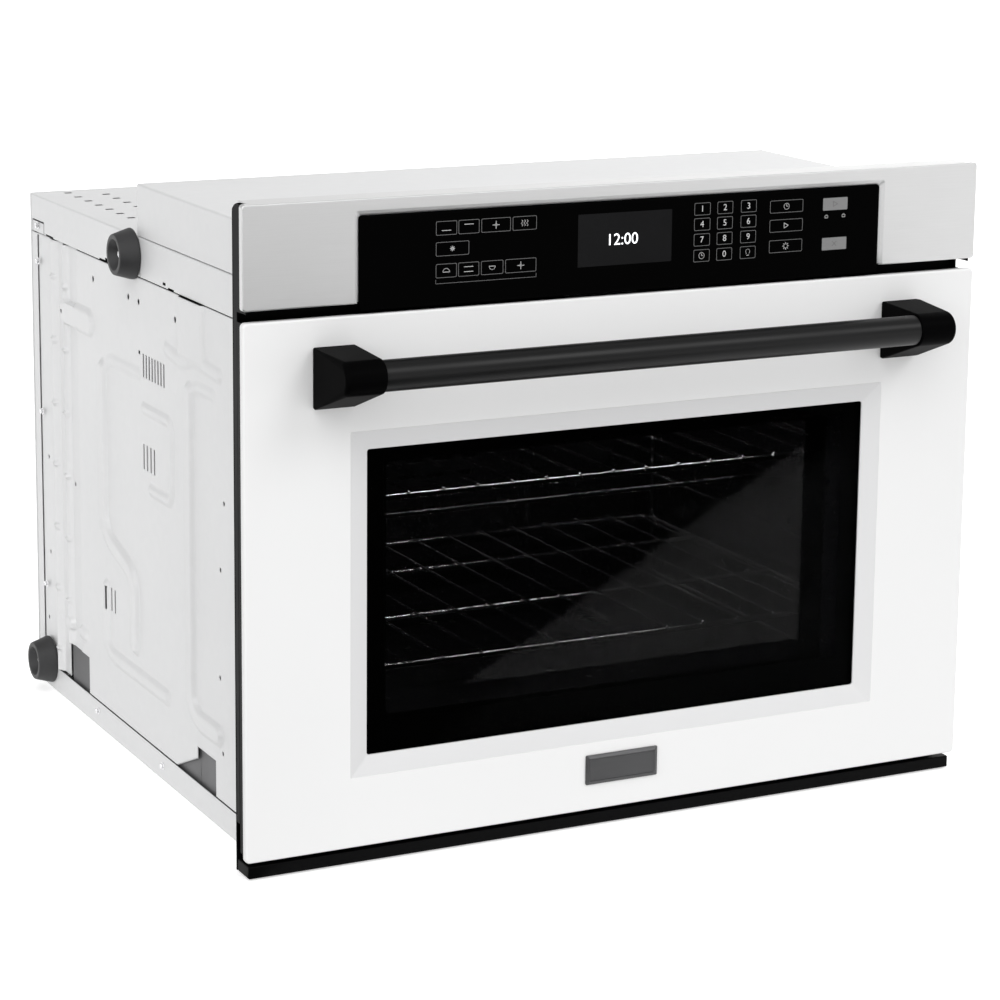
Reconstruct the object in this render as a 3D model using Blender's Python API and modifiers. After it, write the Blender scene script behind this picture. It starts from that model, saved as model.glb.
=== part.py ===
"""Built-in electric wall oven, 30 inch class, as an assembly of separate parts.

Metres, +Z up, +X to the right as a person facing the door sees it, +Y into the cabinet.
The origin is at the middle of the assembly's footprint, on the underside of the base pan.
Every place below is written in the face frame, whose y is zero on the front of the door;
the empty "face_frame" carries it to the part's own frame.
"""
import math

import bmesh
import bpy
from mathutils import Matrix, Vector

# ---------------------------------------------------------------- driving dimensions
FACE_HALF = 0.3785          # half width of the door skin and control fascia
TRIM_HALF = 0.3745          # half width of the black front frame
BODY_HALF = 0.349           # half width of the casing that goes into the cabinet
HEIGHT = 0.6075             # underside of the base pan to the top of the fascia
DEPTH = 0.672               # front of the door to the back of the casing
BODY_TOP = 0.531            # top cover
BOX_TOP = 0.5815            # raised control box
BOX_BACK = 0.3455           # back of the raised control box
HANDLE_REACH = 0.072        # how far the handle stands out from the door
GAP = 0.0003                # running gap between neighbouring pieces
SHEET = 0.002               # sheet metal

# ---------------------------------------------------------------- front frame and trim
FRAME_FRONT = 0.0305        # front of the frame's plate
FRAME_BACK = 0.0335         # back of the plate, which bears on the cabinet
WALL_FRONT = 0.024          # front edge of the frame's side walls beside the door
WALL_LOW = 0.0465           # their foot, clear of the door's corner as it swings
FASCIA_WALL_FRONT = 0.003   # and beside the control fascia
WALL_BREAK = 0.512          # height at which the walls change from one to the other
HEM = 0.0007                # the plate's side edges are folded double by this much
HEM_INNER = 0.353
FRAME_TOP = 0.605
TRIM_BOTTOM = 0.001
TRIM_TOP = 0.0125
TRIM_FRONT = 0.004

# ---------------------------------------------------------------- control fascia
PANEL_BOTTOM = 0.515
CONTROL_GLASS_HALF = 0.2687
CONTROL_GLASS_TOP = 0.592
CONTROL_GLASS_BOTTOM = 0.508
FASCIA_LIP = 0.0025          # depth of the fascia's folded edges
FASCIA_WRAP = 0.030         # how far the fascia's top runs back

# ---------------------------------------------------------------- door
DOOR_BOTTOM = 0.017
DOOR_TOP = 0.505
DOOR_LIP = 0.0025           # depth of the skin's folded edges
BEZEL_HALF = 0.277          # outer edge of the bevel pressed around the window
BEZEL_LOW = 0.083
BEZEL_HIGH = 0.401
BEZEL_WIDTH = 0.0175
BEZEL_DEPTH = 0.005
RING_RIM_FRONT = 0.0026     # the door frame's outer rim, inside the skin
RING_RIM = 0.008            # and how wide it is
RING_FRONT = 0.0106         # front of the rest of the door frame
RING_BACK = 0.0232
RING_BOTTOM = 0.0205
RING_TOP = 0.503
RING_OPENING = (0.262, 0.078, 0.408)     # half width, low and high edge
PANE = 0.003
LINER_BACK = 0.0256
LINER_HALF = 0.352
LINER_BOTTOM = 0.046
LINER_TOP = 0.500
PLUG_HALF = 0.277           # the part of the liner that enters the cavity
PLUG_LOW = 0.092
PLUG_HIGH = 0.443
PLUG_BACK = 0.0484
PLUG_DRAFT = 0.0105
WINDOW = (0.222, 0.123, 0.360)           # half width, low and high edge of the window
BADGE_HALF = 0.038
BADGE_LOW = 0.0425
BADGE_HIGH = 0.071

# ---------------------------------------------------------------- door hinge
PIVOT_Y = 0.012
PIVOT_Z = 0.0345
PIN_RADIUS = 0.003
KNUCKLE_RADIUS = 0.006
BRACKET_X = (0.3265, 0.3325)             # fixed bracket, from the middle of the oven
ARM_X = (0.3355, 0.3415)                 # arm inside the door
ARM_TOP = 0.170

# ---------------------------------------------------------------- handle
HANDLE_Y = -0.056
HANDLE_Z = 0.4615
HANDLE_RADIUS = 0.014
NOSE_RADIUS = 0.016
NOSE_X = (0.2735, 0.3125)
SOCKET_X = 0.2925            # how far the bar runs into its bracket
FOOT_X = (0.2755, 0.3140)
FOOT_Z = (0.425, 0.480)

# ---------------------------------------------------------------- oven cavity
CAVITY_HALF = 0.300
CAVITY_FLOOR = 0.0775
CAVITY_ROOF = 0.4555
CAVITY_FRONT = 0.034
CAVITY_BACK = 0.520
OPENING_HALF = 0.2945
OPENING_LOW = 0.0845
OPENING_HIGH = 0.4495
BLANKET_HALF = 0.343
BLANKET_LOW = 0.045
BLANKET_HIGH = 0.488
FAN_Z = 0.267               # convection fan axis
RUNG = 0.005
RUNG_TOPS = [0.105, 0.160, 0.215, 0.270, 0.320, 0.375]
RACK_LEVELS = {"lower_rack": 0.160, "upper_rack": 0.320}
RACK_FRONT = 0.056
RACK_BACK = 0.472
RACK_HALF = 0.2905
RACK_BAR = 0.006
RACK_CROSS_BARS = (0.209, 0.364)
RACK_WIRES = {"lower_rack": (0.0398, 13), "upper_rack": (0.0354, 16)}    # pitch and number

# ---------------------------------------------------------------- above the cavity
BLOWER_Y = 0.480
BLOWER_FLOOR = 0.490
BLOWER_TOP = 0.527
LATCH_PIVOT = (0.0, 0.062)
LATCH_Z = 0.4915
SWITCH_X = 0.195
SWITCH_Z = 0.4955

FACE_Y = (HANDLE_REACH - DEPTH) / 2      # where the face frame stands in the part's frame

# Pivots of the moving groups, in the face frame.
GROUPS = {
    "oven": (0.0, 0.0, 0.0),
    "door": (0.0, PIVOT_Y, PIVOT_Z),
    "upper_rack": (0.0, RACK_FRONT, RACK_LEVELS["upper_rack"]),
    "lower_rack": (0.0, RACK_FRONT, RACK_LEVELS["lower_rack"]),
    "fan": (0.0, CAVITY_BACK, FAN_Z),
    "blower": (0.0, BLOWER_Y, BLOWER_FLOOR),
    "latch": (*LATCH_PIVOT, LATCH_Z),
    "switch": (SWITCH_X, LINER_BACK, SWITCH_Z),
}

# Colour, roughness and metallic value of each finish.
FINISHES = {
    "white_enamel": ((0.86, 0.86, 0.86), 0.45, 0.0),
    "stainless": ((0.72, 0.72, 0.73), 0.32, 1.0),
    "black_steel": ((0.012, 0.012, 0.013), 0.45, 0.0),
    "black_glass": ((0.004, 0.004, 0.005), 0.06, 0.0),
    "galvanised": ((0.78, 0.79, 0.80), 0.38, 1.0),
    "cavity_enamel": ((0.035, 0.035, 0.038), 0.25, 0.0),
    "glass_wool": ((0.80, 0.74, 0.50), 0.95, 0.0),
    "rubber": ((0.03, 0.03, 0.03), 0.7, 0.0),
    "heater_tube": ((0.16, 0.15, 0.14), 0.5, 1.0),
    "chrome_wire": ((0.75, 0.75, 0.76), 0.15, 1.0),
    "clear_glass": ((0.55, 0.60, 0.58), 0.05, 0.0),
    "circuit_board": ((0.03, 0.16, 0.07), 0.5, 0.0),
    "dark_plastic": ((0.02, 0.02, 0.02), 0.5, 0.0),
    "zinc_steel": ((0.62, 0.62, 0.63), 0.4, 1.0),
    "badge_metal": ((0.20, 0.20, 0.21), 0.3, 1.0),
    "gasket_fibre": ((0.25, 0.25, 0.25), 0.9, 0.0),
}

parts = None
cutters = None
frames = {}


# ---------------------------------------------------------------- helpers
def clear_scene():
    for thing in list(bpy.data.objects):
        bpy.data.objects.remove(thing, do_unlink=True)


def new_collection(name):
    group = bpy.data.collections.new(name)
    bpy.context.scene.collection.children.link(group)
    return group


def make_frames():
    """One empty for the face frame and one on each moving group's axis."""
    face = bpy.data.objects.new("face_frame", None)
    face.location = (0, FACE_Y, 0)
    parts.objects.link(face)
    for name, pivot in GROUPS.items():
        empty = bpy.data.objects.new(name + "_axis", None)
        empty.parent = face
        empty.location = pivot
        parts.objects.link(empty)
        frames[name] = empty


def finish_material(name, kind):
    colour, roughness, metallic = FINISHES[kind]
    material = bpy.data.materials.new(name + "_finish")
    material.use_nodes = True
    shader = material.node_tree.nodes["Principled BSDF"]
    shader.inputs["Base Color"].default_value = (*colour, 1.0)
    shader.inputs["Roughness"].default_value = roughness
    shader.inputs["Metallic"].default_value = metallic
    return material


def place(thing, where, group="oven"):
    """Parent to the group's empty, keeping a place given in the face frame."""
    thing.parent = frames[group]
    thing.location = Vector(where) - Vector(GROUPS[group])


def as_part(name, data, where, kind, group="oven"):
    thing = bpy.data.objects.new(name, data)
    parts.objects.link(thing)
    place(thing, where, group)
    data.materials.append(finish_material(name, kind))
    return thing


def as_tool(name, mesh, where, group="oven"):
    """A cutter, or a piece to be joined on: the build leaves it out."""
    thing = bpy.data.objects.new(name, mesh)
    cutters.objects.link(thing)
    place(thing, where, group)
    thing.hide_render = True
    thing.display_type = "WIRE"
    return thing


def box_mesh(name, size):
    form = bmesh.new()
    bmesh.ops.create_cube(form, size=1.0)
    bmesh.ops.scale(form, vec=size, verts=form.verts)
    return to_mesh(name, form)


def to_mesh(name, form):
    mesh = bpy.data.meshes.new(name)
    form.to_mesh(mesh)
    form.free()
    return mesh


def middle_and_size(x, y, z):
    middle = [(low + high) / 2 for low, high in (x, y, z)]
    size = [high - low for low, high in (x, y, z)]
    return middle, size


def box(name, x, y, z, kind, group="oven"):
    middle, size = middle_and_size(x, y, z)
    return as_part(name, box_mesh(name, size), middle, kind, group)


def box_tool(name, x, y, z, group="oven"):
    middle, size = middle_and_size(x, y, z)
    return as_tool(name, box_mesh(name, size), middle, group)


AXIS_TURN = {
    "X": Matrix.Rotation(math.pi / 2, 3, "Y"),
    "Y": Matrix.Rotation(-math.pi / 2, 3, "X"),
    "Z": Matrix.Identity(3),
}


def cylinder_mesh(name, radius, length, axis, sides=24, far_radius=None):
    form = bmesh.new()
    bmesh.ops.create_cone(
        form, cap_ends=True, segments=sides, depth=length,
        radius1=radius, radius2=far_radius or radius)
    bmesh.ops.rotate(form, matrix=AXIS_TURN[axis], verts=form.verts)
    mesh = to_mesh(name, form)
    mesh.shade_smooth()
    mesh.set_sharp_from_angle(angle=math.radians(40))
    return mesh


def cylinder(name, where, radius, length, axis, kind, group="oven", sides=24):
    mesh = cylinder_mesh(name, radius, length, axis, sides)
    return as_part(name, mesh, where, kind, group)


def cylinder_tool(name, where, radius, length, axis, group="oven", sides=24):
    return as_tool(name, cylinder_mesh(name, radius, length, axis, sides), where, group)


def combine(target, tools, operation="DIFFERENCE"):
    for tool in tools:
        modifier = target.modifiers.new(tool.name, "BOOLEAN")
        modifier.operation = operation
        modifier.object = tool
    return target


def cut(target, *tools):
    return combine(target, tools)


def join(target, *tools):
    return combine(target, tools, "UNION")


def soften(target, width, segments=2):
    modifier = target.modifiers.new("rounded_edges", "BEVEL")
    modifier.width = width
    modifier.segments = segments
    modifier.limit_method = "ANGLE"
    modifier.angle_limit = math.radians(40)
    return target


def thicken(target, thickness):
    """Give an open surface its thickness, on the side away from its normals."""
    modifier = target.modifiers.new("sheet", "SOLIDIFY")
    modifier.thickness = thickness
    modifier.offset = -1
    modifier.use_even_offset = True
    return target


def lofted_surface(name, rings, kind, group, faces_back=False):
    """Join rectangles (half width, low, high, y) into an open surface, outer ring first."""
    form = bmesh.new()
    loops = []
    for half, low, high, y in rings:
        corners = ((-half, low), (half, low), (half, high), (-half, high))
        loops.append([form.verts.new((x, y, z)) for x, z in corners])
    for outer, inner in zip(loops, loops[1:]):
        for i in range(4):
            j = (i + 1) % 4
            corners = [outer[i], outer[j], inner[j], inner[i]]
            form.faces.new(corners[::-1] if faces_back else corners)
    offset = Vector(GROUPS[group])
    bmesh.ops.translate(form, vec=-offset, verts=form.verts)
    return as_part(name, to_mesh(name, form), offset, kind, group)


def tube(name, points, radius, kind, group="oven", closed=False):
    """A bent rod through the given points."""
    curve = bpy.data.curves.new(name, "CURVE")
    curve.dimensions = "3D"
    curve.bevel_depth = radius
    curve.bevel_resolution = 2
    curve.use_fill_caps = True
    spline = curve.splines.new("POLY")
    spline.points.add(len(points) - 1)
    for point, here in zip(spline.points, points):
        point.co = (*(Vector(here) - Vector(GROUPS[group])), 1)
    spline.use_cyclic_u = closed
    return as_part(name, curve, GROUPS[group], kind, group)


def turned(name, profile, where, kind, axis_turn, group="oven", steps=24):
    """Turn a profile of (radius, height) points about its own axis."""
    form = bmesh.new()
    row = [form.verts.new((radius, 0, height)) for radius, height in profile]
    for first, second in zip(row, row[1:]):
        form.edges.new((first, second))
    thing = as_part(name, to_mesh(name, form), where, kind, group)
    thing.rotation_euler = axis_turn
    modifier = thing.modifiers.new("turned", "SCREW")
    modifier.steps = steps
    modifier.render_steps = steps
    modifier.use_merge_vertices = True
    modifier.merge_threshold = 0.0001
    modifier.use_smooth_shade = False
    return thing


def serpentine(half_width, front, back, height, runs, bend_points=4):
    """Points of a flat heating element: straight runs joined by half-round bends."""
    spacing = 2 * half_width / (runs - 1)
    radius = spacing / 2
    points = []
    for run in range(runs):
        x = -half_width + run * spacing
        going_forward = run % 2 == 0
        start, end = (back, front) if going_forward else (front, back)
        points.append((x, start, height))
        points.append((x, end, height))
        if run == runs - 1:
            break
        side = -1 if going_forward else 1
        for step in range(1, bend_points):
            angle = math.pi * step / bend_points
            swing = side * radius * math.sin(angle)
            points.append((x + radius - radius * math.cos(angle), end + swing, height))
    return points


# ---------------------------------------------------------------- casing
def build_casing():
    side_low = 0.0285
    side_high = 0.4915
    body_back = DEPTH - 0.0033
    for side, sign in (("left", -1), ("right", 1)):
        outer = sign * BODY_HALF
        inner = sign * (BODY_HALF - SHEET)
        x = (min(outer, inner), max(outer, inner))
        box("side_panel_" + side, x, (FRAME_BACK + GAP, body_back), (side_low, side_high),
            "galvanised")
    build_top_cover(side_high + GAP, body_back)
    build_control_box_cover()
    build_base_pan(side_low - GAP, body_back)
    build_rear_panel()


def build_top_cover(flange_low, body_back):
    """The top sheet and the flanges that fold down over the side panels."""
    y = (FRAME_BACK + GAP, body_back)
    cover = box("top_cover", (-BODY_HALF, BODY_HALF), y, (flange_low, BODY_TOP), "galvanised")
    inside = BODY_HALF - SHEET
    hollow = box_tool("top_cover_hollow", (-inside, inside), (0, DEPTH + 0.1),
                      (flange_low - 0.01, BODY_TOP - SHEET))
    cut(cover, hollow)


def build_control_box_cover():
    low = BODY_TOP + GAP
    x = BODY_HALF - 0.0005
    cover = box("control_box_cover", (-x, x), (FRAME_BACK + GAP, BOX_BACK), (low, BOX_TOP),
                "galvanised")
    hollow = box_tool("control_box_hollow", (-x + SHEET, x - SHEET), (0, BOX_BACK - SHEET),
                      (low - 0.01, BOX_TOP - SHEET))
    cut(cover, hollow)


def build_base_pan(rail_top, body_back):
    """The bottom sheet with a rail folded up along each side."""
    y = (FRAME_BACK + GAP, body_back)
    pan = box("base_pan", (-BODY_HALF, BODY_HALF), y, (0, rail_top), "galvanised")
    inside = BODY_HALF - SHEET
    hollow = box_tool("base_pan_hollow", (-inside, inside), (0, DEPTH + 0.1),
                      (SHEET, rail_top + 0.01))
    cut(pan, hollow)


def build_rear_panel():
    """The back sheet with its cooling slots, and the cover over the supply terminals."""
    front = DEPTH - 0.003
    back = DEPTH - 0.0015
    panel = box("rear_panel", (-BODY_HALF, BODY_HALF), (front, back), (0.001, BODY_TOP),
                "galvanised")
    slots = []
    for row in range(3):
        z = 0.40 + row * 0.030
        slot = box_tool("rear_slot_%d" % row, (-0.14, 0.14), (front - 0.01, back + 0.01),
                        (z, z + 0.008))
        slots.append(slot)
    cut(panel, *slots)
    cover = box("terminal_cover", (0.20, 0.32), (back + GAP, DEPTH), (0.40, 0.49), "zinc_steel")
    entry = cylinder_tool("conduit_entry", (0.26, DEPTH, 0.425), 0.011, 0.02, "Y")
    cut(cover, entry)


def build_bumpers():
    """Rubber stops on the casing's sides, each a hollow cone held by a screw down its middle."""
    height = 0.019
    profile = [
        (0, 0.004), (0.0080, 0.004), (0.0125, height), (0.0195, height), (0.0250, 0), (0, 0)]
    places = {"upper": (0.358, 0.5120), "lower": (0.631, 0.033)}
    for side, sign in (("left", -1), ("right", 1)):
        for level, (y, z) in places.items():
            turned("bumper_%s_%s" % (side, level), profile,
                   (sign * (BODY_HALF + GAP), y, z), "rubber", (0, sign * math.pi / 2, 0))


# ---------------------------------------------------------------- front frame
def build_front_frame():
    """The black plate around the cavity, with side walls that run forward past the door."""
    plate_y = (FRAME_FRONT, FRAME_BACK)
    frame = box("front_frame", (-TRIM_HALF, TRIM_HALF), plate_y, (TRIM_BOTTOM, FRAME_TOP),
                "black_steel")
    walls = []
    for side, sign in (("left", -1), ("right", 1)):
        outer = sign * TRIM_HALF
        inner = sign * (TRIM_HALF - SHEET)
        x = (min(outer, inner), max(outer, inner))
        walls.append(box_tool("door_side_wall_" + side, x, (WALL_FRONT, FRAME_FRONT + 0.001),
                              (WALL_LOW, WALL_BREAK)))
        walls.append(box_tool("fascia_side_wall_" + side, x,
                              (FASCIA_WALL_FRONT, FRAME_FRONT + 0.001),
                              (WALL_BREAK - 0.002, FRAME_TOP)))
        hem = sorted((sign * HEM_INNER, sign * (TRIM_HALF - HEM)))
        walls.append(box_tool("hem_" + side, hem, (FRAME_BACK - 0.001, FRAME_BACK + HEM),
                              (0.060, 0.590)))
    join(frame, *walls)
    through = (FRAME_FRONT - 0.01, FRAME_BACK + 0.01)
    holes = [
        box_tool("cavity_opening", (-OPENING_HALF, OPENING_HALF), through,
                 (OPENING_LOW, OPENING_HIGH)),
        box_tool("cooling_outlet", (-0.24, 0.24), through, (0.5012, 0.512)),
        box_tool("latch_slot", (-0.012, 0.022), through, (0.4890, 0.4970)),
        box_tool("switch_hole", (SWITCH_X - 0.004, SWITCH_X + 0.004), through,
                 (SWITCH_Z - 0.004, SWITCH_Z + 0.004)),
    ]
    for side, sign in (("left", -1), ("right", 1)):
        edges = (sign * 0.3225, sign * 0.3365)
        holes.append(box_tool("hinge_slot_" + side, (min(edges), max(edges)), through,
                              (0.0225, 0.0445)))
    cut(frame, *holes)
    box("bottom_trim", (-TRIM_HALF, TRIM_HALF), (TRIM_FRONT, FRAME_FRONT - GAP),
        (TRIM_BOTTOM, TRIM_TOP), "black_steel")
    build_gasket()


def build_gasket():
    """The woven seal on the front frame, around the cavity."""
    y = (LINER_BACK + GAP, FRAME_FRONT - GAP)
    outer = OPENING_HALF + 0.0135
    seal = box("door_gasket", (-outer, outer), y, (OPENING_LOW - 0.0135, OPENING_HIGH + 0.0135),
               "gasket_fibre")
    inner = OPENING_HALF + 0.0035
    hollow = box_tool("gasket_inside", (-inner, inner), (y[0] - 0.01, y[1] + 0.01),
                      (OPENING_LOW - 0.0035, OPENING_HIGH + 0.0035))
    cut(seal, hollow)
    soften(seal, 0.0012, 1)


# ---------------------------------------------------------------- control fascia
def build_controls():
    fascia = box("control_fascia", (-FACE_HALF, FACE_HALF), (0, FASCIA_LIP),
                 (PANEL_BOTTOM, HEIGHT), "stainless")
    wrap = box_tool("fascia_top", (-TRIM_HALF - 0.0005, TRIM_HALF + 0.0005),
                    (SHEET / 2, FASCIA_WRAP), (HEIGHT - SHEET, HEIGHT))
    inside = FACE_HALF - SHEET
    hollow = box_tool("fascia_hollow", (-inside, inside), (SHEET, FASCIA_LIP + 0.01),
                      (PANEL_BOTTOM + SHEET, HEIGHT - SHEET))
    notch = box_tool("fascia_notch", (-CONTROL_GLASS_HALF, CONTROL_GLASS_HALF), (-0.01, 0.02),
                     (PANEL_BOTTOM - 0.01, CONTROL_GLASS_TOP))
    cut(fascia, hollow)
    join(fascia, wrap)
    cut(fascia, notch)
    edge = CONTROL_GLASS_HALF - GAP
    box("control_glass", (-edge, edge), (0.0015, 0.0055),
        (CONTROL_GLASS_BOTTOM, CONTROL_GLASS_TOP - GAP), "black_glass")
    box("display_module", (-0.060, 0.050), (0.0058, 0.0150), (0.526, 0.587), "dark_plastic")
    box("control_board", (-0.250, 0.250), (0.0170, 0.0190), (0.520, 0.586), "circuit_board")


# ---------------------------------------------------------------- cavity
def build_cavity():
    y = (CAVITY_FRONT, CAVITY_BACK)
    wall = CAVITY_HALF + SHEET
    z = (CAVITY_FLOOR, CAVITY_ROOF)
    box("cavity_wall_left", (-wall, -CAVITY_HALF), y, z, "cavity_enamel")
    box("cavity_wall_right", (CAVITY_HALF, wall), y, z, "cavity_enamel")
    box("cavity_roof", (-wall, wall), y, (CAVITY_ROOF + GAP, CAVITY_ROOF + GAP + SHEET),
        "cavity_enamel")
    box("cavity_floor", (-wall, wall), y, (CAVITY_FLOOR - GAP - SHEET, CAVITY_FLOOR - GAP),
        "cavity_enamel")
    back_y = (CAVITY_BACK + GAP, CAVITY_BACK + GAP + SHEET)
    back = box("cavity_back", (-wall, wall), back_y,
               (CAVITY_FLOOR - GAP - SHEET, CAVITY_ROOF + GAP + SHEET), "cavity_enamel")
    cut(back, cylinder_tool("shaft_hole", (0, CAVITY_BACK, FAN_Z), 0.007, 0.02, "Y", sides=16))
    build_insulation()
    build_elements()
    build_rack_guides()
    cylinder("temperature_probe", (-0.22, 0.4825, 0.405), 0.003, 0.074, "Y", "chrome_wire",
             sides=12)
    cylinder("oven_lamp", (0.245, 0.508, 0.405), 0.026, 0.023, "Y", "clear_glass", sides=20)


def build_insulation():
    """The blanket wrapped around the cavity, and the slab behind it."""
    y = (0.036, CAVITY_BACK + SHEET + 2 * GAP)
    blanket = box("insulation_blanket", (-BLANKET_HALF, BLANKET_HALF), y,
                  (BLANKET_LOW, BLANKET_HIGH), "glass_wool")
    inside = CAVITY_HALF + SHEET + GAP
    hollow = box_tool("blanket_inside", (-inside, inside), (0, DEPTH),
                      (BLANKET_LOW + 0.0155, CAVITY_ROOF + SHEET + 2 * GAP))
    cut(blanket, hollow)
    slab = box("rear_insulation", (-BLANKET_HALF, BLANKET_HALF), (y[1] + GAP, 0.555),
               (BLANKET_LOW, BLANKET_HIGH), "glass_wool")
    cut(slab, cylinder_tool("slab_hole", (0, 0.54, FAN_Z), 0.010, 0.06, "Y", sides=16))


def build_elements():
    broil = serpentine(0.235, 0.100, 0.435, CAVITY_ROOF - 0.016, runs=8)
    tube("broil_element", broil, 0.0035, "heater_tube")
    bake = serpentine(0.235, 0.100, 0.435, 0.068, runs=8)
    tube("bake_element", bake, 0.0033, "heater_tube")
    ring = []
    radius = 0.100
    for step in range(25):
        angle = math.radians(-75 + 330 * step / 24)
        ring.append((radius * math.sin(angle), 0.503, FAN_Z + radius * math.cos(angle)))
    first = (ring[0][0], 0.5195, ring[0][2])
    last = (ring[-1][0], 0.5195, ring[-1][2])
    tube("convection_element", [first] + ring + [last], 0.0035, "heater_tube")


def build_rack_guides():
    """A ladder of rods on each side wall: two posts and a rung at every rack level."""
    for side, sign in (("left", -1), ("right", 1)):
        def span(near, far):
            edges = (sign * near, sign * far)
            return (min(edges), max(edges))

        posts = span(0.2915, 0.2975)
        guide = box("rack_guide_" + side, posts, (0.070, 0.076), (0.092, 0.425), "chrome_wire")
        tools = [box_tool("rear_post_" + side, posts, (0.466, 0.472), (0.092, 0.425))]
        for index, top in enumerate(RUNG_TOPS):
            tools.append(box_tool("rung_%s_%d" % (side, index), span(0.2865, 0.2925),
                                  (0.064, 0.478), (top - RUNG, top)))
        join(guide, *tools)


def build_racks():
    """Wire racks, each a frame with cross bars and runners along its sides."""
    inner = RACK_HALF - RACK_BAR
    for name, level in RACK_LEVELS.items():
        z = (level + GAP, level + GAP + RACK_BAR)
        rack = box(name, (-RACK_HALF, RACK_HALF), (RACK_FRONT, RACK_FRONT + RACK_BAR), z,
                   "chrome_wire", name)
        tools = [
            box_tool(name + "_back", (-RACK_HALF, RACK_HALF), (RACK_BACK - RACK_BAR, RACK_BACK),
                     z, name),
            box_tool(name + "_left", (-RACK_HALF, -inner), (RACK_FRONT, RACK_BACK), z, name),
            box_tool(name + "_right", (inner, RACK_HALF), (RACK_FRONT, RACK_BACK), z, name),
        ]
        for index, y in enumerate(RACK_CROSS_BARS):
            tools.append(box_tool("%s_cross_%d" % (name, index),
                                  (-RACK_HALF + 0.001, RACK_HALF - 0.001),
                                  (y - 0.003, y + 0.003), (z[0] + 0.0005, z[1] - 0.0005), name))
        pitch, bars = RACK_WIRES[name]
        for index in range(bars):
            x = (index - (bars - 1) / 2) * pitch
            tools.append(box_tool("%s_bar_%d" % (name, index), (x - 0.002, x + 0.002),
                                  (RACK_FRONT + 0.002, RACK_BACK - 0.002),
                                  (z[0] + 0.001, z[1] - 0.001), name))
        join(rack, *tools)


# ---------------------------------------------------------------- convection fan
def build_convection():
    baffle = box("convection_baffle", (-0.150, 0.150), (0.478, CAVITY_BACK - GAP),
                 (0.122, 0.412), "cavity_enamel")
    hollow = box_tool("baffle_hollow", (-0.1485, 0.1485), (0.4795, CAVITY_BACK + 0.01),
                      (0.1235, 0.4105))
    slots = []
    for index in range(7):
        x = -0.054 + index * 0.018
        reach = math.sqrt(0.062 ** 2 - x ** 2)
        slots.append(box_tool("inlet_%d" % index, (x - 0.0045, x + 0.0045), (0.470, 0.485),
                              (FAN_Z - reach, FAN_Z + reach)))
    cut(baffle, hollow, *slots)
    build_fan_wheel()
    motor = cylinder("convection_motor", (0, 0.585, FAN_Z), 0.038, 0.050, "Y", "zinc_steel")
    flange = box_tool("motor_flange", (-0.060, 0.060), (0.5560, 0.5620),
                      (FAN_Z - 0.018, FAN_Z + 0.018))
    bore = cylinder_tool("motor_bore", (0, 0.565, FAN_Z), 0.0045, 0.050, "Y", sides=16)
    join(motor, flange)
    cut(motor, bore)


def build_fan_wheel():
    """A disc with radial blades, on a shaft that runs back into the motor."""
    shaft = cylinder("convection_fan", (0, 0.530, FAN_Z), 0.004, 0.075, "Y", "zinc_steel", "fan",
                     sides=16)
    tools = [cylinder_tool("fan_disc", (0, 0.5135, FAN_Z), 0.068, 0.002, "Y", "fan")]
    blades = 8
    for index in range(blades):
        blade = box_tool("fan_blade_%d" % index, (0.020, 0.070), (0.496, 0.5140),
                         (FAN_Z - 0.0008, FAN_Z + 0.0008), "fan")
        turn_about_fan(blade, 2 * math.pi * index / blades)
        tools.append(blade)
    join(shaft, *tools)


def turn_about_fan(blade, angle):
    """Swing a blade tool about the fan's axis, which runs along Y."""
    blade.location.rotate(Matrix.Rotation(angle, 3, "Y"))
    blade.rotation_euler = (0, angle, 0)


# ---------------------------------------------------------------- cooling blower and latch
def build_blower():
    housing = box("blower_housing", (-0.085, 0.085), (BLOWER_Y - 0.150, BLOWER_Y + 0.085),
                  (BLOWER_FLOOR, BLOWER_TOP), "zinc_steel")
    scroll = cylinder_tool("scroll_space", (0, BLOWER_Y, 0.510), 0.068, 0.0365, "Z")
    outlet = box_tool("outlet_space", (-0.068, 0.068), (BLOWER_Y - 0.2, BLOWER_Y),
                      (0.510 - 0.01825, 0.510 + 0.010))
    cut(housing, scroll, outlet)
    wheel_profile = [
        (0.0, 0.0330), (0.056, 0.0330), (0.056, 0.0050), (0.046, 0.0050), (0.046, 0.0310),
        (0.0, 0.0310)]
    turned("blower_wheel", wheel_profile, GROUPS["blower"], "dark_plastic", (0, 0, 0), "blower")
    cylinder("blower_motor", (0, BLOWER_Y, 0.506), 0.024, 0.024, "Z", "zinc_steel")


def build_latch():
    """The motor that locks the door for self-cleaning, and the hook it swings."""
    x, y = LATCH_PIVOT
    motor = box("latch_motor", (-0.035, 0.035), (0.050, 0.120), (0.4960, 0.5200), "zinc_steel")
    join(motor, cylinder_tool("latch_post", (x, y, 0.4940), 0.0035, 0.010, "Z", sides=16))
    z = (LATCH_Z, LATCH_Z + 0.003)
    hook = box("latch_hook", (-0.005, 0.005), (0.0150, 0.070), z, "zinc_steel", "latch")
    tip = box_tool("hook_tip", (0.004, 0.010), (0.0150, 0.0190), z, "latch")
    hole = cylinder_tool("hook_hole", (x, y, LATCH_Z), 0.0039, 0.02, "Z", "latch", sides=16)
    join(hook, tip)
    cut(hook, hole)
    body = box("door_switch", (SWITCH_X - 0.012, SWITCH_X + 0.012), (0.0345, 0.066),
               (SWITCH_Z - 0.006, SWITCH_Z + 0.009), "dark_plastic")
    bore = cylinder_tool("switch_bore", (SWITCH_X, 0.0445, SWITCH_Z), 0.0032, 0.025, "Y",
                         sides=16)
    cut(body, bore)
    length = 0.024
    cylinder("switch_plunger", (SWITCH_X, LINER_BACK + GAP + length / 2, SWITCH_Z), 0.0028,
             length, "Y", "dark_plastic", "switch", sides=16)


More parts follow.
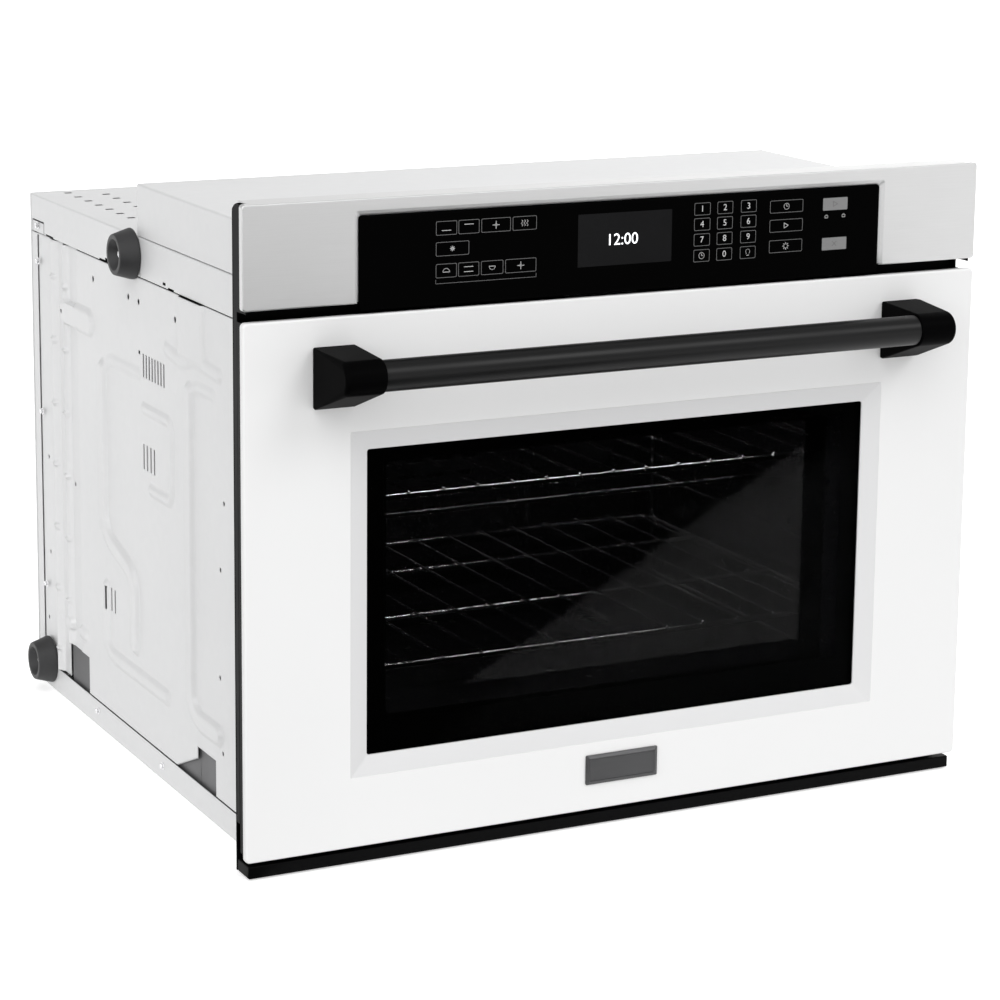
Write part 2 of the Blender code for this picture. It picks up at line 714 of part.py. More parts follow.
# ---------------------------------------------------------------- door
def build_door():
    build_door_skin()
    build_door_ring()
    build_panes()
    build_liner()
    box("badge_plate", (-BADGE_HALF, BADGE_HALF), (-0.0033, -GAP), (BADGE_LOW, BADGE_HIGH),
        "badge_metal", "door")


def build_door_skin():
    """The front sheet: edges folded back, and a bevel pressed around the window."""
    rings = [
        (FACE_HALF, DOOR_BOTTOM, DOOR_TOP, DOOR_LIP),
        (FACE_HALF, DOOR_BOTTOM, DOOR_TOP, 0),
        (BEZEL_HALF, BEZEL_LOW, BEZEL_HIGH, 0),
        (BEZEL_HALF - BEZEL_WIDTH, BEZEL_LOW + BEZEL_WIDTH, BEZEL_HIGH - BEZEL_WIDTH,
         BEZEL_DEPTH),
    ]
    thicken(lofted_surface("door_skin", rings, "white_enamel", "door"), SHEET)


def build_door_ring():
    """The folded frame behind the skin, with pockets for the hinges and the latch."""
    y = (RING_RIM_FRONT, RING_BACK)
    ring = box("door_frame", (-TRIM_HALF, TRIM_HALF), y, (RING_BOTTOM, RING_TOP), "black_steel",
               "door")
    inside = TRIM_HALF - RING_RIM
    recess = box_tool("ring_recess", (-inside, inside), (RING_RIM_FRONT - 0.01, RING_FRONT),
                      (RING_BOTTOM + RING_RIM, RING_TOP - RING_RIM), "door")
    cut(ring, recess)
    half, low, high = RING_OPENING
    through = (RING_FRONT - 0.01, RING_BACK + 0.01)
    tools = [
        box_tool("ring_opening", (-half, half), through, (low, high), "door"),
        box_tool("latch_pocket", (-0.012, 0.024), (0.0125, RING_BACK + 0.01), (0.488, 0.498),
                 "door"),
    ]
    for side, sign in (("left", -1), ("right", 1)):
        edges = (sign * 0.3225, sign * 0.3445)
        tools.append(box_tool("hinge_pocket_" + side, (min(edges), max(edges)), through,
                              (RING_BOTTOM - 0.01, ARM_TOP + 0.002), "door"))
    cut(ring, *tools)


def build_panes():
    """Three panes: the black-bordered one outside, one in the air channel, one at the liner."""
    front = BEZEL_DEPTH + SHEET + GAP
    box("outer_glass", (-0.268, 0.268), (front, front + PANE), (0.091, 0.394), "black_glass",
        "door")
    half, low, high = RING_OPENING
    box("middle_glass", (-half + GAP, half - GAP), (0.0150, 0.0150 + PANE),
        (low + GAP, high - GAP), "clear_glass", "door")
    back = PLUG_BACK - 0.0015 - GAP
    box("inner_glass", (-0.245, 0.245), (back - PANE, back), (0.108, 0.395), "clear_glass",
        "door")


def build_liner():
    """The inner sheet of the door, drawn into a plug that enters the cavity."""
    half, low, high = WINDOW
    rings = [
        (LINER_HALF, LINER_BOTTOM, LINER_TOP, LINER_BACK),
        (PLUG_HALF, PLUG_LOW, PLUG_HIGH, LINER_BACK),
        (PLUG_HALF - PLUG_DRAFT, PLUG_LOW + PLUG_DRAFT, PLUG_HIGH - PLUG_DRAFT, PLUG_BACK),
        (half, low, high, PLUG_BACK),
    ]
    liner = lofted_surface("door_liner", rings, "cavity_enamel", "door", faces_back=True)
    thicken(liner, 0.0015)
    slot = box_tool("liner_latch_slot", (-0.008, 0.015), (0.015, 0.035), (0.4890, 0.4975),
                    "door")
    cut(liner, slot)


def build_handle():
    length = 2 * (SOCKET_X - GAP)
    cylinder("handle_bar", (0, HANDLE_Y, HANDLE_Z), HANDLE_RADIUS, length, "X", "black_steel",
             "door", sides=32)
    for side, sign in (("left", -1), ("right", 1)):
        build_handle_bracket("handle_bracket_" + side, sign)


def build_handle_bracket(name, sign):
    """A foot on the door that narrows to a half-round nose level with the bar."""
    form = bmesh.new()
    for x in FOOT_X:
        for z in FOOT_Z:
            form.verts.new((sign * x, -GAP, z))
            form.verts.new((sign * x, -0.004, z))
    steps = 12
    for x in NOSE_X:
        for step in range(steps + 1):
            angle = math.pi / 2 + math.pi * step / steps
            form.verts.new((sign * x, HANDLE_Y + NOSE_RADIUS * math.cos(angle),
                            HANDLE_Z + NOSE_RADIUS * math.sin(angle)))
    bmesh.ops.convex_hull(form, input=form.verts)
    offset = Vector(GROUPS["door"])
    bmesh.ops.translate(form, vec=-offset, verts=form.verts)
    mesh = to_mesh(name, form)
    mesh.shade_smooth()
    mesh.set_sharp_from_angle(angle=math.radians(30))
    bracket = as_part(name, mesh, offset, "black_steel", "door")
    socket = cylinder_tool(name + "_socket", (sign * (SOCKET_X - 0.020), HANDLE_Y, HANDLE_Z),
                           HANDLE_RADIUS + GAP, 0.040, "X", "door", sides=32)
    cut(bracket, socket)


def build_hinges():
    """At each lower corner: a bracket on the casing, a pin, and an arm inside the door."""
    for side, sign in (("left", -1), ("right", 1)):
        def span(edges):
            return (min(sign * edges[0], sign * edges[1]), max(sign * edges[0], sign * edges[1]))

        def middle(edges):
            return sign * (edges[0] + edges[1]) / 2

        width = BRACKET_X[1] - BRACKET_X[0] - 2 * GAP
        bracket = box("hinge_bracket_" + side, span(BRACKET_X), (0.034, 0.110), (0.006, 0.043),
                      "zinc_steel")
        reach = box_tool("bracket_reach_" + side, span(BRACKET_X), (PIVOT_Y, 0.040),
                         (PIVOT_Z - 0.005, PIVOT_Z + 0.005))
        knuckle = cylinder_tool("bracket_knuckle_" + side,
                                (middle(BRACKET_X), PIVOT_Y, PIVOT_Z), KNUCKLE_RADIUS,
                                width, "X")
        hole = cylinder_tool("bracket_hole_" + side, (middle(BRACKET_X), PIVOT_Y, PIVOT_Z),
                             PIN_RADIUS + GAP, 0.02, "X")
        join(bracket, reach, knuckle)
        cut(bracket, hole)

        arm = box("hinge_arm_" + side, span(ARM_X), (RING_FRONT + 0.001, RING_BACK - 0.001),
                  (PIVOT_Z, ARM_TOP), "zinc_steel", "door")
        knuckle = cylinder_tool("arm_knuckle_" + side, (middle(ARM_X), PIVOT_Y, PIVOT_Z),
                                KNUCKLE_RADIUS, width, "X", "door")
        hole = cylinder_tool("arm_hole_" + side, (middle(ARM_X), PIVOT_Y, PIVOT_Z),
                             PIN_RADIUS + GAP, 0.02, "X", "door")
        join(arm, knuckle)
        cut(arm, hole)
        cylinder("hinge_pin_" + side, (sign * 0.334, PIVOT_Y, PIVOT_Z), PIN_RADIUS, 0.020, "X",
                 "zinc_steel")


def build():
    global parts, cutters
    clear_scene()
    parts = new_collection("wall_oven")
    cutters = new_collection("wall_oven_cutters")
    make_frames()
    build_casing()
    build_bumpers()
    build_front_frame()
    build_controls()
    build_cavity()
    build_racks()
    build_convection()
    build_blower()
    build_latch()
    build_door()
    build_handle()
    build_hinges()


build()
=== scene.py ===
"""The looks of the wall oven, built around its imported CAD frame.

Places are in metres in the face frame: x to the right, z up, and y measured back from the
front of the door. Form.piece() carries a finished mesh from there to the frame.
"""
import math

import bmesh
import bpy
import numpy as np
from mathutils import Matrix, Vector


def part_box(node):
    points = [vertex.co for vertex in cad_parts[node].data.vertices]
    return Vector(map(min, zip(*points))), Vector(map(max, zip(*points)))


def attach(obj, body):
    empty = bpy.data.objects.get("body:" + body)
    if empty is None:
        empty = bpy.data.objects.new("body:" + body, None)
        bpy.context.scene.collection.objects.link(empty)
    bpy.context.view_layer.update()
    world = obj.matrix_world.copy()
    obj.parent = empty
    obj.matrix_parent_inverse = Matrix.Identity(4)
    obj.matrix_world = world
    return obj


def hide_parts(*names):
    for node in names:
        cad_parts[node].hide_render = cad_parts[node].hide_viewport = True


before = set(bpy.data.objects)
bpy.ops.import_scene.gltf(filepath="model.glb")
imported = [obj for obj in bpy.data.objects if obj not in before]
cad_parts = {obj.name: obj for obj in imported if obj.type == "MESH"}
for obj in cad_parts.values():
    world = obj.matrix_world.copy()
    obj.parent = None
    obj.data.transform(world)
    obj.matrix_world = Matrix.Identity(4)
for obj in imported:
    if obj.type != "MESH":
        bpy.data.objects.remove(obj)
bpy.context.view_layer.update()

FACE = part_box("door_skin")[0][1]
HAIR = 0.0003                 # the running gap between neighbouring pieces
SHEET = 0.0012                # thickness of the casing's sheet metal


def corners(node):
    """A CAD node's low and high corners in the face frame."""
    low, high = (Vector(corner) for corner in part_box(node))
    forward = Vector((0, FACE, 0))
    return low - forward, high - forward


# ---------------------------------------------------------------- outlines and paths
def arc(centre, radius, start, end, steps):
    """Points on a circle from one angle to another, in degrees."""
    points = []
    for step in range(steps + 1):
        angle = math.radians(start + (end - start) * step / steps)
        points.append((centre[0] + radius * math.cos(angle),
                       centre[1] + radius * math.sin(angle)))
    return points


def rounded(x, z, radius, steps=4):
    """An anticlockwise rectangle with round corners, from its two ranges."""
    (left, right), (low, high) = x, z
    r = radius
    return (arc((right - r, low + r), r, -90, 0, steps)
            + arc((right - r, high - r), r, 0, 90, steps)
            + arc((left + r, high - r), r, 90, 180, steps)
            + arc((left + r, low + r), r, 180, 270, steps))


def ring(x, z, y, radius, steps=4):
    """The same rectangle as points in space, at a depth y."""
    return [(px, y, pz) for px, pz in rounded(x, z, radius, steps)]


def inset_ring(low, high, inset, y, radius):
    """A rounded rectangle in space, drawn in from a pair of corners."""
    return ring((low.x + inset, high.x - inset), (low.z + inset, high.z - inset), y, radius)


def fillet(points, radius, steps=6, closed=False):
    """A path with its corners rounded."""
    count = len(points)
    points = [Vector(point) for point in points]
    path = []
    for index, here in enumerate(points):
        if not closed and index in (0, count - 1):
            path.append(here)
            continue
        before = points[index - 1]
        after = points[(index + 1) % count]
        reach = min(radius, (before - here).length * 0.49, (after - here).length * 0.49)
        start = here + (before - here).normalized() * reach
        end = here + (after - here).normalized() * reach
        for step in range(steps + 1):
            t = step / steps
            path.append(start * (1 - t) ** 2 + here * 2 * t * (1 - t) + end * t ** 2)
    return path


# ---------------------------------------------------------------- building a piece's mesh
class Form:
    """The vertices and faces of one piece."""

    def __init__(self):
        self.points = []
        self.faces = []

    def add(self, points, faces):
        start = len(self.points)
        self.points.extend(tuple(point) for point in points)
        self.faces.extend([tuple(start + i for i in face) for face in faces])
        return self

    def add_mesh(self, mesh):
        """Take in a bmesh and free it."""
        mesh.verts.index_update()
        self.add([vert.co for vert in mesh.verts],
                 [[vert.index for vert in face.verts] for face in mesh.faces])
        mesh.free()
        return self

    def box(self, low, high, bevel=0.0, segments=2, turn=None):
        """A block with softened edges; turn is an angle about its own Y axis."""
        mesh = bmesh.new()
        bmesh.ops.create_cube(mesh, size=1.0)
        size = Vector(high) - Vector(low)
        bmesh.ops.scale(mesh, vec=size, verts=mesh.verts)
        if bevel:
            bmesh.ops.bevel(mesh, geom=mesh.edges[:], offset=bevel, segments=segments,
                            profile=0.5, affect="EDGES")
        if turn:
            bmesh.ops.rotate(mesh, matrix=Matrix.Rotation(turn, 3, "Y"), verts=mesh.verts)
        bmesh.ops.translate(mesh, vec=(Vector(low) + Vector(high)) / 2, verts=mesh.verts)
        return self.add_mesh(mesh)

    def loft(self, rings, closed=True, start_cap=False, end_cap=False):
        """Faces between rings that have the same number of points."""
        count = len(rings[0])
        points = [point for loop in rings for point in loop]
        faces = []
        for level in range(len(rings) - 1):
            for i in range(count if closed else count - 1):
                j = (i + 1) % count
                faces.append((level * count + i, level * count + j,
                              (level + 1) * count + j, (level + 1) * count + i))
        if start_cap:
            faces.append(tuple(range(count))[::-1])
        if end_cap:
            faces.append(tuple(range((len(rings) - 1) * count, len(rings) * count)))
        return self.add(points, faces)

    def turned(self, profile, centre, axis, steps=40, phase=0.0):
        """Turn (radius, height) points about an axis; a zero radius closes an end."""
        axis = Vector(axis).normalized()
        side = axis.orthogonal().normalized()
        other = axis.cross(side)
        centre = Vector(centre)
        loops = []
        points = []
        faces = []
        for radius, height in profile:
            start = len(points)
            turns = 1 if radius == 0 else steps
            for step in range(turns):
                angle = phase + 2 * math.pi * step / steps
                arm = side * math.cos(angle) + other * math.sin(angle)
                points.append(centre + axis * height + arm * radius)
            loops.append((start, turns))
        for (first, here), (second, there) in zip(loops, loops[1:]):
            for i in range(steps):
                j = (i + 1) % steps
                face = [first + i % here, first + j % here, second + j % there,
                        second + i % there]
                faces.append(tuple(dict.fromkeys(face)))
        faces = [face for face in faces if len(face) > 2]
        return self.add(points, faces)

    def tube(self, path, radius, sides=12, closed=False, flat=1.0):
        """A rod along a path; flat narrows it across the first side direction."""
        path = [Vector(point) for point in path]
        count = len(path)
        side = None
        rings = []
        for index, here in enumerate(path):
            before = path[index - 1] if closed or index else here
            after = path[(index + 1) % count] if closed or index < count - 1 else here
            along = (after - before).normalized()
            if side is None:
                side = along.orthogonal()
            side = (side - along * side.dot(along)).normalized()
            other = along.cross(side)
            loop = []
            for step in range(sides):
                angle = 2 * math.pi * step / sides
                loop.append(here + side * math.cos(angle) * radius * flat
                            + other * math.sin(angle) * radius)
            rings.append(loop)
        if closed:
            rings.append(rings[0])
        return self.loft(rings, start_cap=not closed, end_cap=not closed)

    def prism(self, outline, span, bevel=0.0, segments=2, axis="y"):
        """An outline pushed from one depth to another, its rims softened.

        Its points are (x, z) when the axis is y, and (y, z) when it is x.
        """
        mesh = bmesh.new()
        ends = []
        for depth in span:
            ends.append([mesh.verts.new((a, depth, b) if axis == "y" else (depth, a, b))
                         for a, b in outline])
        near, far = ends
        mesh.faces.new(near)
        mesh.faces.new(far[::-1])
        for i in range(len(outline)):
            j = (i + 1) % len(outline)
            mesh.faces.new((near[i], far[i], far[j], near[j]))
        if bevel:
            along = "xy".index(axis)
            rims = [edge for edge in mesh.edges
                    if abs(edge.verts[0].co[along] - edge.verts[1].co[along]) < 1e-7]
            bmesh.ops.bevel(mesh, geom=rims, offset=bevel, segments=segments, profile=0.5,
                            affect="EDGES")
        return self.add_mesh(mesh)

    def band(self, outer, inner, y):
        """A flat closed band between two outlines with the same number of points."""
        rings = [[(px, depth, pz) for px, pz in outline]
                 for outline, depth in ((outer, y[0]), (outer, y[1]), (inner, y[1]),
                                        (inner, y[0]), (outer, y[0]))]
        return self.loft(rings)

    def screw(self, centre, axis, radius=0.0042):
        """A hexagon-headed sheet-metal screw with its washer."""
        r = radius
        self.turned([(0, 0), (r * 1.25, 0), (r * 1.25, r * 0.16), (r * 1.12, r * 0.25),
                     (r * 0.9, r * 0.27)], centre, axis, 20)
        self.turned([(r * 0.95, r * 0.2), (r * 0.95, r * 0.85), (r * 0.8, r * 1.0),
                     (r * 0.35, r * 1.02), (r * 0.3, r * 0.85), (0, r * 0.85)],
                    centre, axis, 6)
        return self

    def piece(self, name, look, node, slot, body="oven", sharp=35, sheet=0.0,
              centred=False):
        """Make the object, put it in the frame and hide the CAD node it stands for.

        node is None for a piece beside the one that stands for its CAD node, look names a
        finish, and slot, a material of the record, is not used. sheet is the thickness of sheet
        metal, laid behind the faces or centred on them.
        """
        mesh = bpy.data.meshes.new(name)
        mesh.from_pydata([(px, py + FACE, pz) for px, py, pz in self.points], [], self.faces)
        work = bmesh.new()
        work.from_mesh(mesh)
        bmesh.ops.remove_doubles(work, verts=work.verts, dist=1e-6)
        bmesh.ops.recalc_face_normals(work, faces=work.faces)
        work.to_mesh(mesh)
        work.free()
        mesh.shade_smooth()
        mesh.set_sharp_from_angle(angle=math.radians(sharp))
        mesh.materials.append(FINISHES[look])
        thing = bpy.data.objects.new(name, mesh)
        bpy.context.scene.collection.objects.link(thing)
        if sheet:
            modifier = thing.modifiers.new("sheet", "SOLIDIFY")
            modifier.thickness = sheet
            modifier.offset = 0.0 if centred else -1.0
            modifier.use_even_offset = not centred
            modifier.thickness_clamp = 0.0
        shading = thing.modifiers.new("shading", "WEIGHTED_NORMAL")
        shading.keep_sharp = True
        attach(thing, body)
        if node:
            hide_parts(node)


# ---------------------------------------------------------------- pressed sheet metal
def smooth_step(value):
    """An easy rise from 0 to 1."""
    value = np.clip(value, 0.0, 1.0)
    return value * value * (3 - 2 * value)


def rib(path, width, height, slope=0.006):
    """Relief of a rib pressed along a path of (u, v) points."""
    def relief(u, v):
        nearest = np.full(u.shape, 1e9)
        for start, end in zip(path, path[1:]):
            run = np.array(end) - np.array(start)
            square = float(run @ run)
            t = np.clip(((u - start[0]) * run[0] + (v - start[1]) * run[1]) / square, 0, 1)
            away = np.hypot(u - start[0] - t * run[0], v - start[1] - t * run[1])
            nearest = np.minimum(nearest, away)
        return height * smooth_step((width / 2 - nearest) / slope + 1)
    return relief


def pad(u, v, corner, height, slope=0.005):
    """Relief of a flat patch, from its two ranges."""
    def relief(pu, pv):
        dx = np.abs(pu - sum(u) / 2) - (u[1] - u[0]) / 2 + corner
        dy = np.abs(pv - sum(v) / 2) - (v[1] - v[0]) / 2 + corner
        outside = np.hypot(np.maximum(dx, 0), np.maximum(dy, 0)) - corner
        distance = outside + np.minimum(np.maximum(dx, dy), 0)
        return height * smooth_step(-distance / slope + 1)
    return relief


def soft_path(points, radius):
    """A rounded path of (u, v) points for a rib."""
    path = fillet([(u, v, 0) for u, v in points], radius, 5)
    return [(point.x, point.y) for point in path]


def grid_lines(span, step, marks):
    """Even lines over a span, moved aside where a mark needs a line of its own."""
    low, high = span
    count = max(1, round((high - low) / step))
    marks = sorted({round(mark, 5) for mark in marks if low < mark < high})
    lines = [line for line in np.linspace(low, high, count + 1)
             if line in (low, high) or all(abs(line - mark) > step * 0.45 for mark in marks)]
    return np.array(sorted(lines + marks))


def pressed_sheet(form, u, v, step, reliefs, place, slots=(), holes=(), bends=()):
    """A sheet over (u, v) with reliefs pressed into it, and slots and round holes cut out.

    place(u, v, h) gives the point in space; slots are (u0, u1, v0, v1), holes (u, v, radius).
    """
    square = 1.45
    cuts = list(slots)
    for hu, hv, radius in holes:
        reach = radius * square
        cuts.append((hu - reach, hu + reach, hv - reach, hv + reach))
    us = grid_lines(u, step, [c for cut in cuts for c in cut[:2]] + list(bends))
    vs = grid_lines(v, step, [c for cut in cuts for c in cut[2:]])

    def height(pu, pv):
        total = np.zeros_like(pu)
        for relief in reliefs:
            extra = relief(pu, pv)
            total = np.where(np.abs(extra) > np.abs(total), extra, total)
        return total

    grid_u, grid_v = np.meshgrid(us, vs, indexing="ij")
    grid_h = height(grid_u, grid_v)
    rows = len(vs)
    points = [place(*values) for values in
              zip(grid_u.ravel(), grid_v.ravel(), grid_h.ravel())]
    middle_u = (us[:-1] + us[1:]) / 2
    middle_v = (vs[:-1] + vs[1:]) / 2
    keep = np.ones((len(us) - 1, len(vs) - 1), bool)
    for u0, u1, v0, v1 in cuts:
        inside_u = (middle_u > u0) & (middle_u < u1)
        inside_v = (middle_v > v0) & (middle_v < v1)
        keep[np.ix_(inside_u, inside_v)] = False
    faces = []
    for i, j in zip(*np.nonzero(keep)):
        corner = i * rows + j
        faces.append((corner, corner + rows, corner + rows + 1, corner + 1))
    for (hu, hv, radius), (u0, u1, v0, v1) in zip(holes, cuts[len(slots):]):
        i0, i1 = (int(np.abs(us - edge).argmin()) for edge in (u0, u1))
        j0, j1 = (int(np.abs(vs - edge).argmin()) for edge in (v0, v1))
        loop = [(i, j0) for i in range(i0, i1)] + [(i1, j) for j in range(j0, j1)]
        loop += [(i, j1) for i in range(i1, i0, -1)] + [(i0, j) for j in range(j1, j0, -1)]
        start = len(points)
        for i, j in loop:
            away = Vector((us[i] - hu, vs[j] - hv)).normalized() * radius
            pu = np.array([hu + away.x])
            pv = np.array([hv + away.y])
            points.append(place(float(pu[0]), float(pv[0]), float(height(pu, pv)[0])))
        for index in range(len(loop)):
            after = (index + 1) % len(loop)
            faces.append((loop[index][0] * rows + loop[index][1],
                          loop[after][0] * rows + loop[after][1],
                          start + after, start + index))
    used = sorted({index for face in faces for index in face})
    new_index = {old: new for new, old in enumerate(used)}
    return form.add([points[index] for index in used],
                    [[new_index[index] for index in face] for face in faces])


class Fold:
    """A cross-section that a sheet follows: places and normals along its length."""

    def __init__(self, points, radius):
        path = fillet([(a, b, 0) for a, b in points], radius, 5)
        self.places = np.array([(p.x, p.y) for p in path])
        steps = np.diff(self.places, axis=0)
        lengths = np.hypot(steps[:, 0], steps[:, 1])
        self.along = np.concatenate([[0], np.cumsum(lengths)])
        tangents = steps / lengths[:, None]
        at_points = np.vstack([tangents[:1], (tangents[:-1] + tangents[1:]) / 2, tangents[-1:]])
        self.normals = np.column_stack([-at_points[:, 1], at_points[:, 0]])

    def length(self):
        return float(self.along[-1])

    def at(self, u, h):
        a, b = (np.interp(u, self.along, self.places[:, i]) for i in (0, 1))
        na, nb = (np.interp(u, self.along, self.normals[:, i]) for i in (0, 1))
        size = math.hypot(na, nb)
        return a + na / size * h, b + nb / size * h

    def where(self, a, b):
        """The length along the fold nearest to a place."""
        return float(self.along[np.hypot(self.places[:, 0] - a, self.places[:, 1] - b).argmin()])


def bent_sheet(fold, y, step, reliefs=(), slots=()):
    """A sheet that follows a fold across the oven and runs back over the range y."""
    def place(u, v, h):
        x, z = fold.at(u, abs(h))
        return (x, v, z)
    return pressed_sheet(Form(), (0.0, fold.length()), y, step, reliefs, place, slots,
                         bends=list(fold.along))


# ---------------------------------------------------------------- finishes
def finish(name, colour, roughness, metallic=0.0, specular=0.5, vary=0.05, broad=6.0,
           stretch=(1, 1, 1), rough_vary=0.06, fine=400.0, bump=0.05, bump_depth=0.0002,
           alpha=1.0, coat=0.0, spangle=0.0, specks=0.0, emission=0.0):
    """A finish whose colour, roughness and fine surface change over the object.

    broad and fine are the sizes of the two noises, in waves a metre; stretch draws the
    fine one out, as brushing does.
    """
    material = bpy.data.materials.new(name)
    material.use_nodes = True
    nodes = material.node_tree.nodes
    link = material.node_tree.links.new

    def add(kind, **values):
        """A node whose inputs are given by name: a number or colour, or a socket to join."""
        node = nodes.new("ShaderNode" + kind) if kind else nodes["Principled BSDF"]
        for key, value in values.items():
            socket = node.inputs[key.replace("_", " ")]
            if isinstance(value, bpy.types.NodeSocket):
                link(value, socket)
            else:
                socket.default_value = value
        return node

    def noise(scale, detail, source):
        return add("TexNoise", Scale=scale, Detail=detail, Vector=source).outputs["Fac"]

    shader = add(None, Metallic=metallic, Specular_IOR_Level=specular, Coat_Weight=coat,
                 Coat_Roughness=0.08, Alpha=alpha)
    place = nodes.new("ShaderNodeTexCoord").outputs["Object"]
    drawn = add("Mapping", Scale=stretch, Vector=place).outputs["Vector"]

    broad_noise = noise(broad, 4.0, place)
    fine_noise = noise(fine, 3.0, drawn)

    ramp = add("ValToRGB", Fac=broad_noise)
    for element, position, factor in zip(ramp.color_ramp.elements, (0.3, 0.7),
                                         (1 - vary, 1 + vary)):
        element.position = position
        element.color = (*(min(1.0, channel * factor) for channel in colour), 1.0)
    tone = ramp.outputs["Color"]

    def mix_in(factor, second):
        mix = nodes.new("ShaderNodeMix")
        mix.data_type = "RGBA"
        link(factor, mix.inputs["Factor"])
        link(tone, mix.inputs["A"])
        mix.inputs["B"].default_value = second
        return mix.outputs["Result"]

    if spangle:
        cells = add("TexVoronoi", Scale=110.0, Vector=place)
        red = add("SeparateColor", Color=cells.outputs["Color"]).outputs["Red"]
        faint = add("MapRange", Value=red, To_Max=spangle)
        tone = mix_in(faint.outputs["Result"], (0.45, 0.46, 0.48, 1.0))
    if specks:
        dots = add("TexVoronoi", Scale=260.0, Vector=place)
        near = add("MapRange", Value=dots.outputs["Distance"], From_Min=0.22, From_Max=0.16,
                   To_Max=specks)
        tone = mix_in(near.outputs["Result"], (0.5, 0.5, 0.52, 1.0))
    link(tone, shader.inputs["Base Color"])
    if emission:
        link(tone, shader.inputs["Emission Color"])
        shader.inputs["Emission Strength"].default_value = emission

    rough = add("MapRange", Value=fine_noise if max(stretch) > 1 else broad_noise,
                From_Min=0.3, From_Max=0.7, To_Min=max(0.02, roughness - rough_vary),
                To_Max=min(1.0, roughness + rough_vary))
    link(rough.outputs["Result"], shader.inputs["Roughness"])
    if bump:
        relief = add("Bump", Strength=bump, Distance=bump_depth, Height=fine_noise)
        link(relief.outputs["Normal"], shader.inputs["Normal"])
    return material


BRUSHED = (1, 40, 40)         # drawn out along x

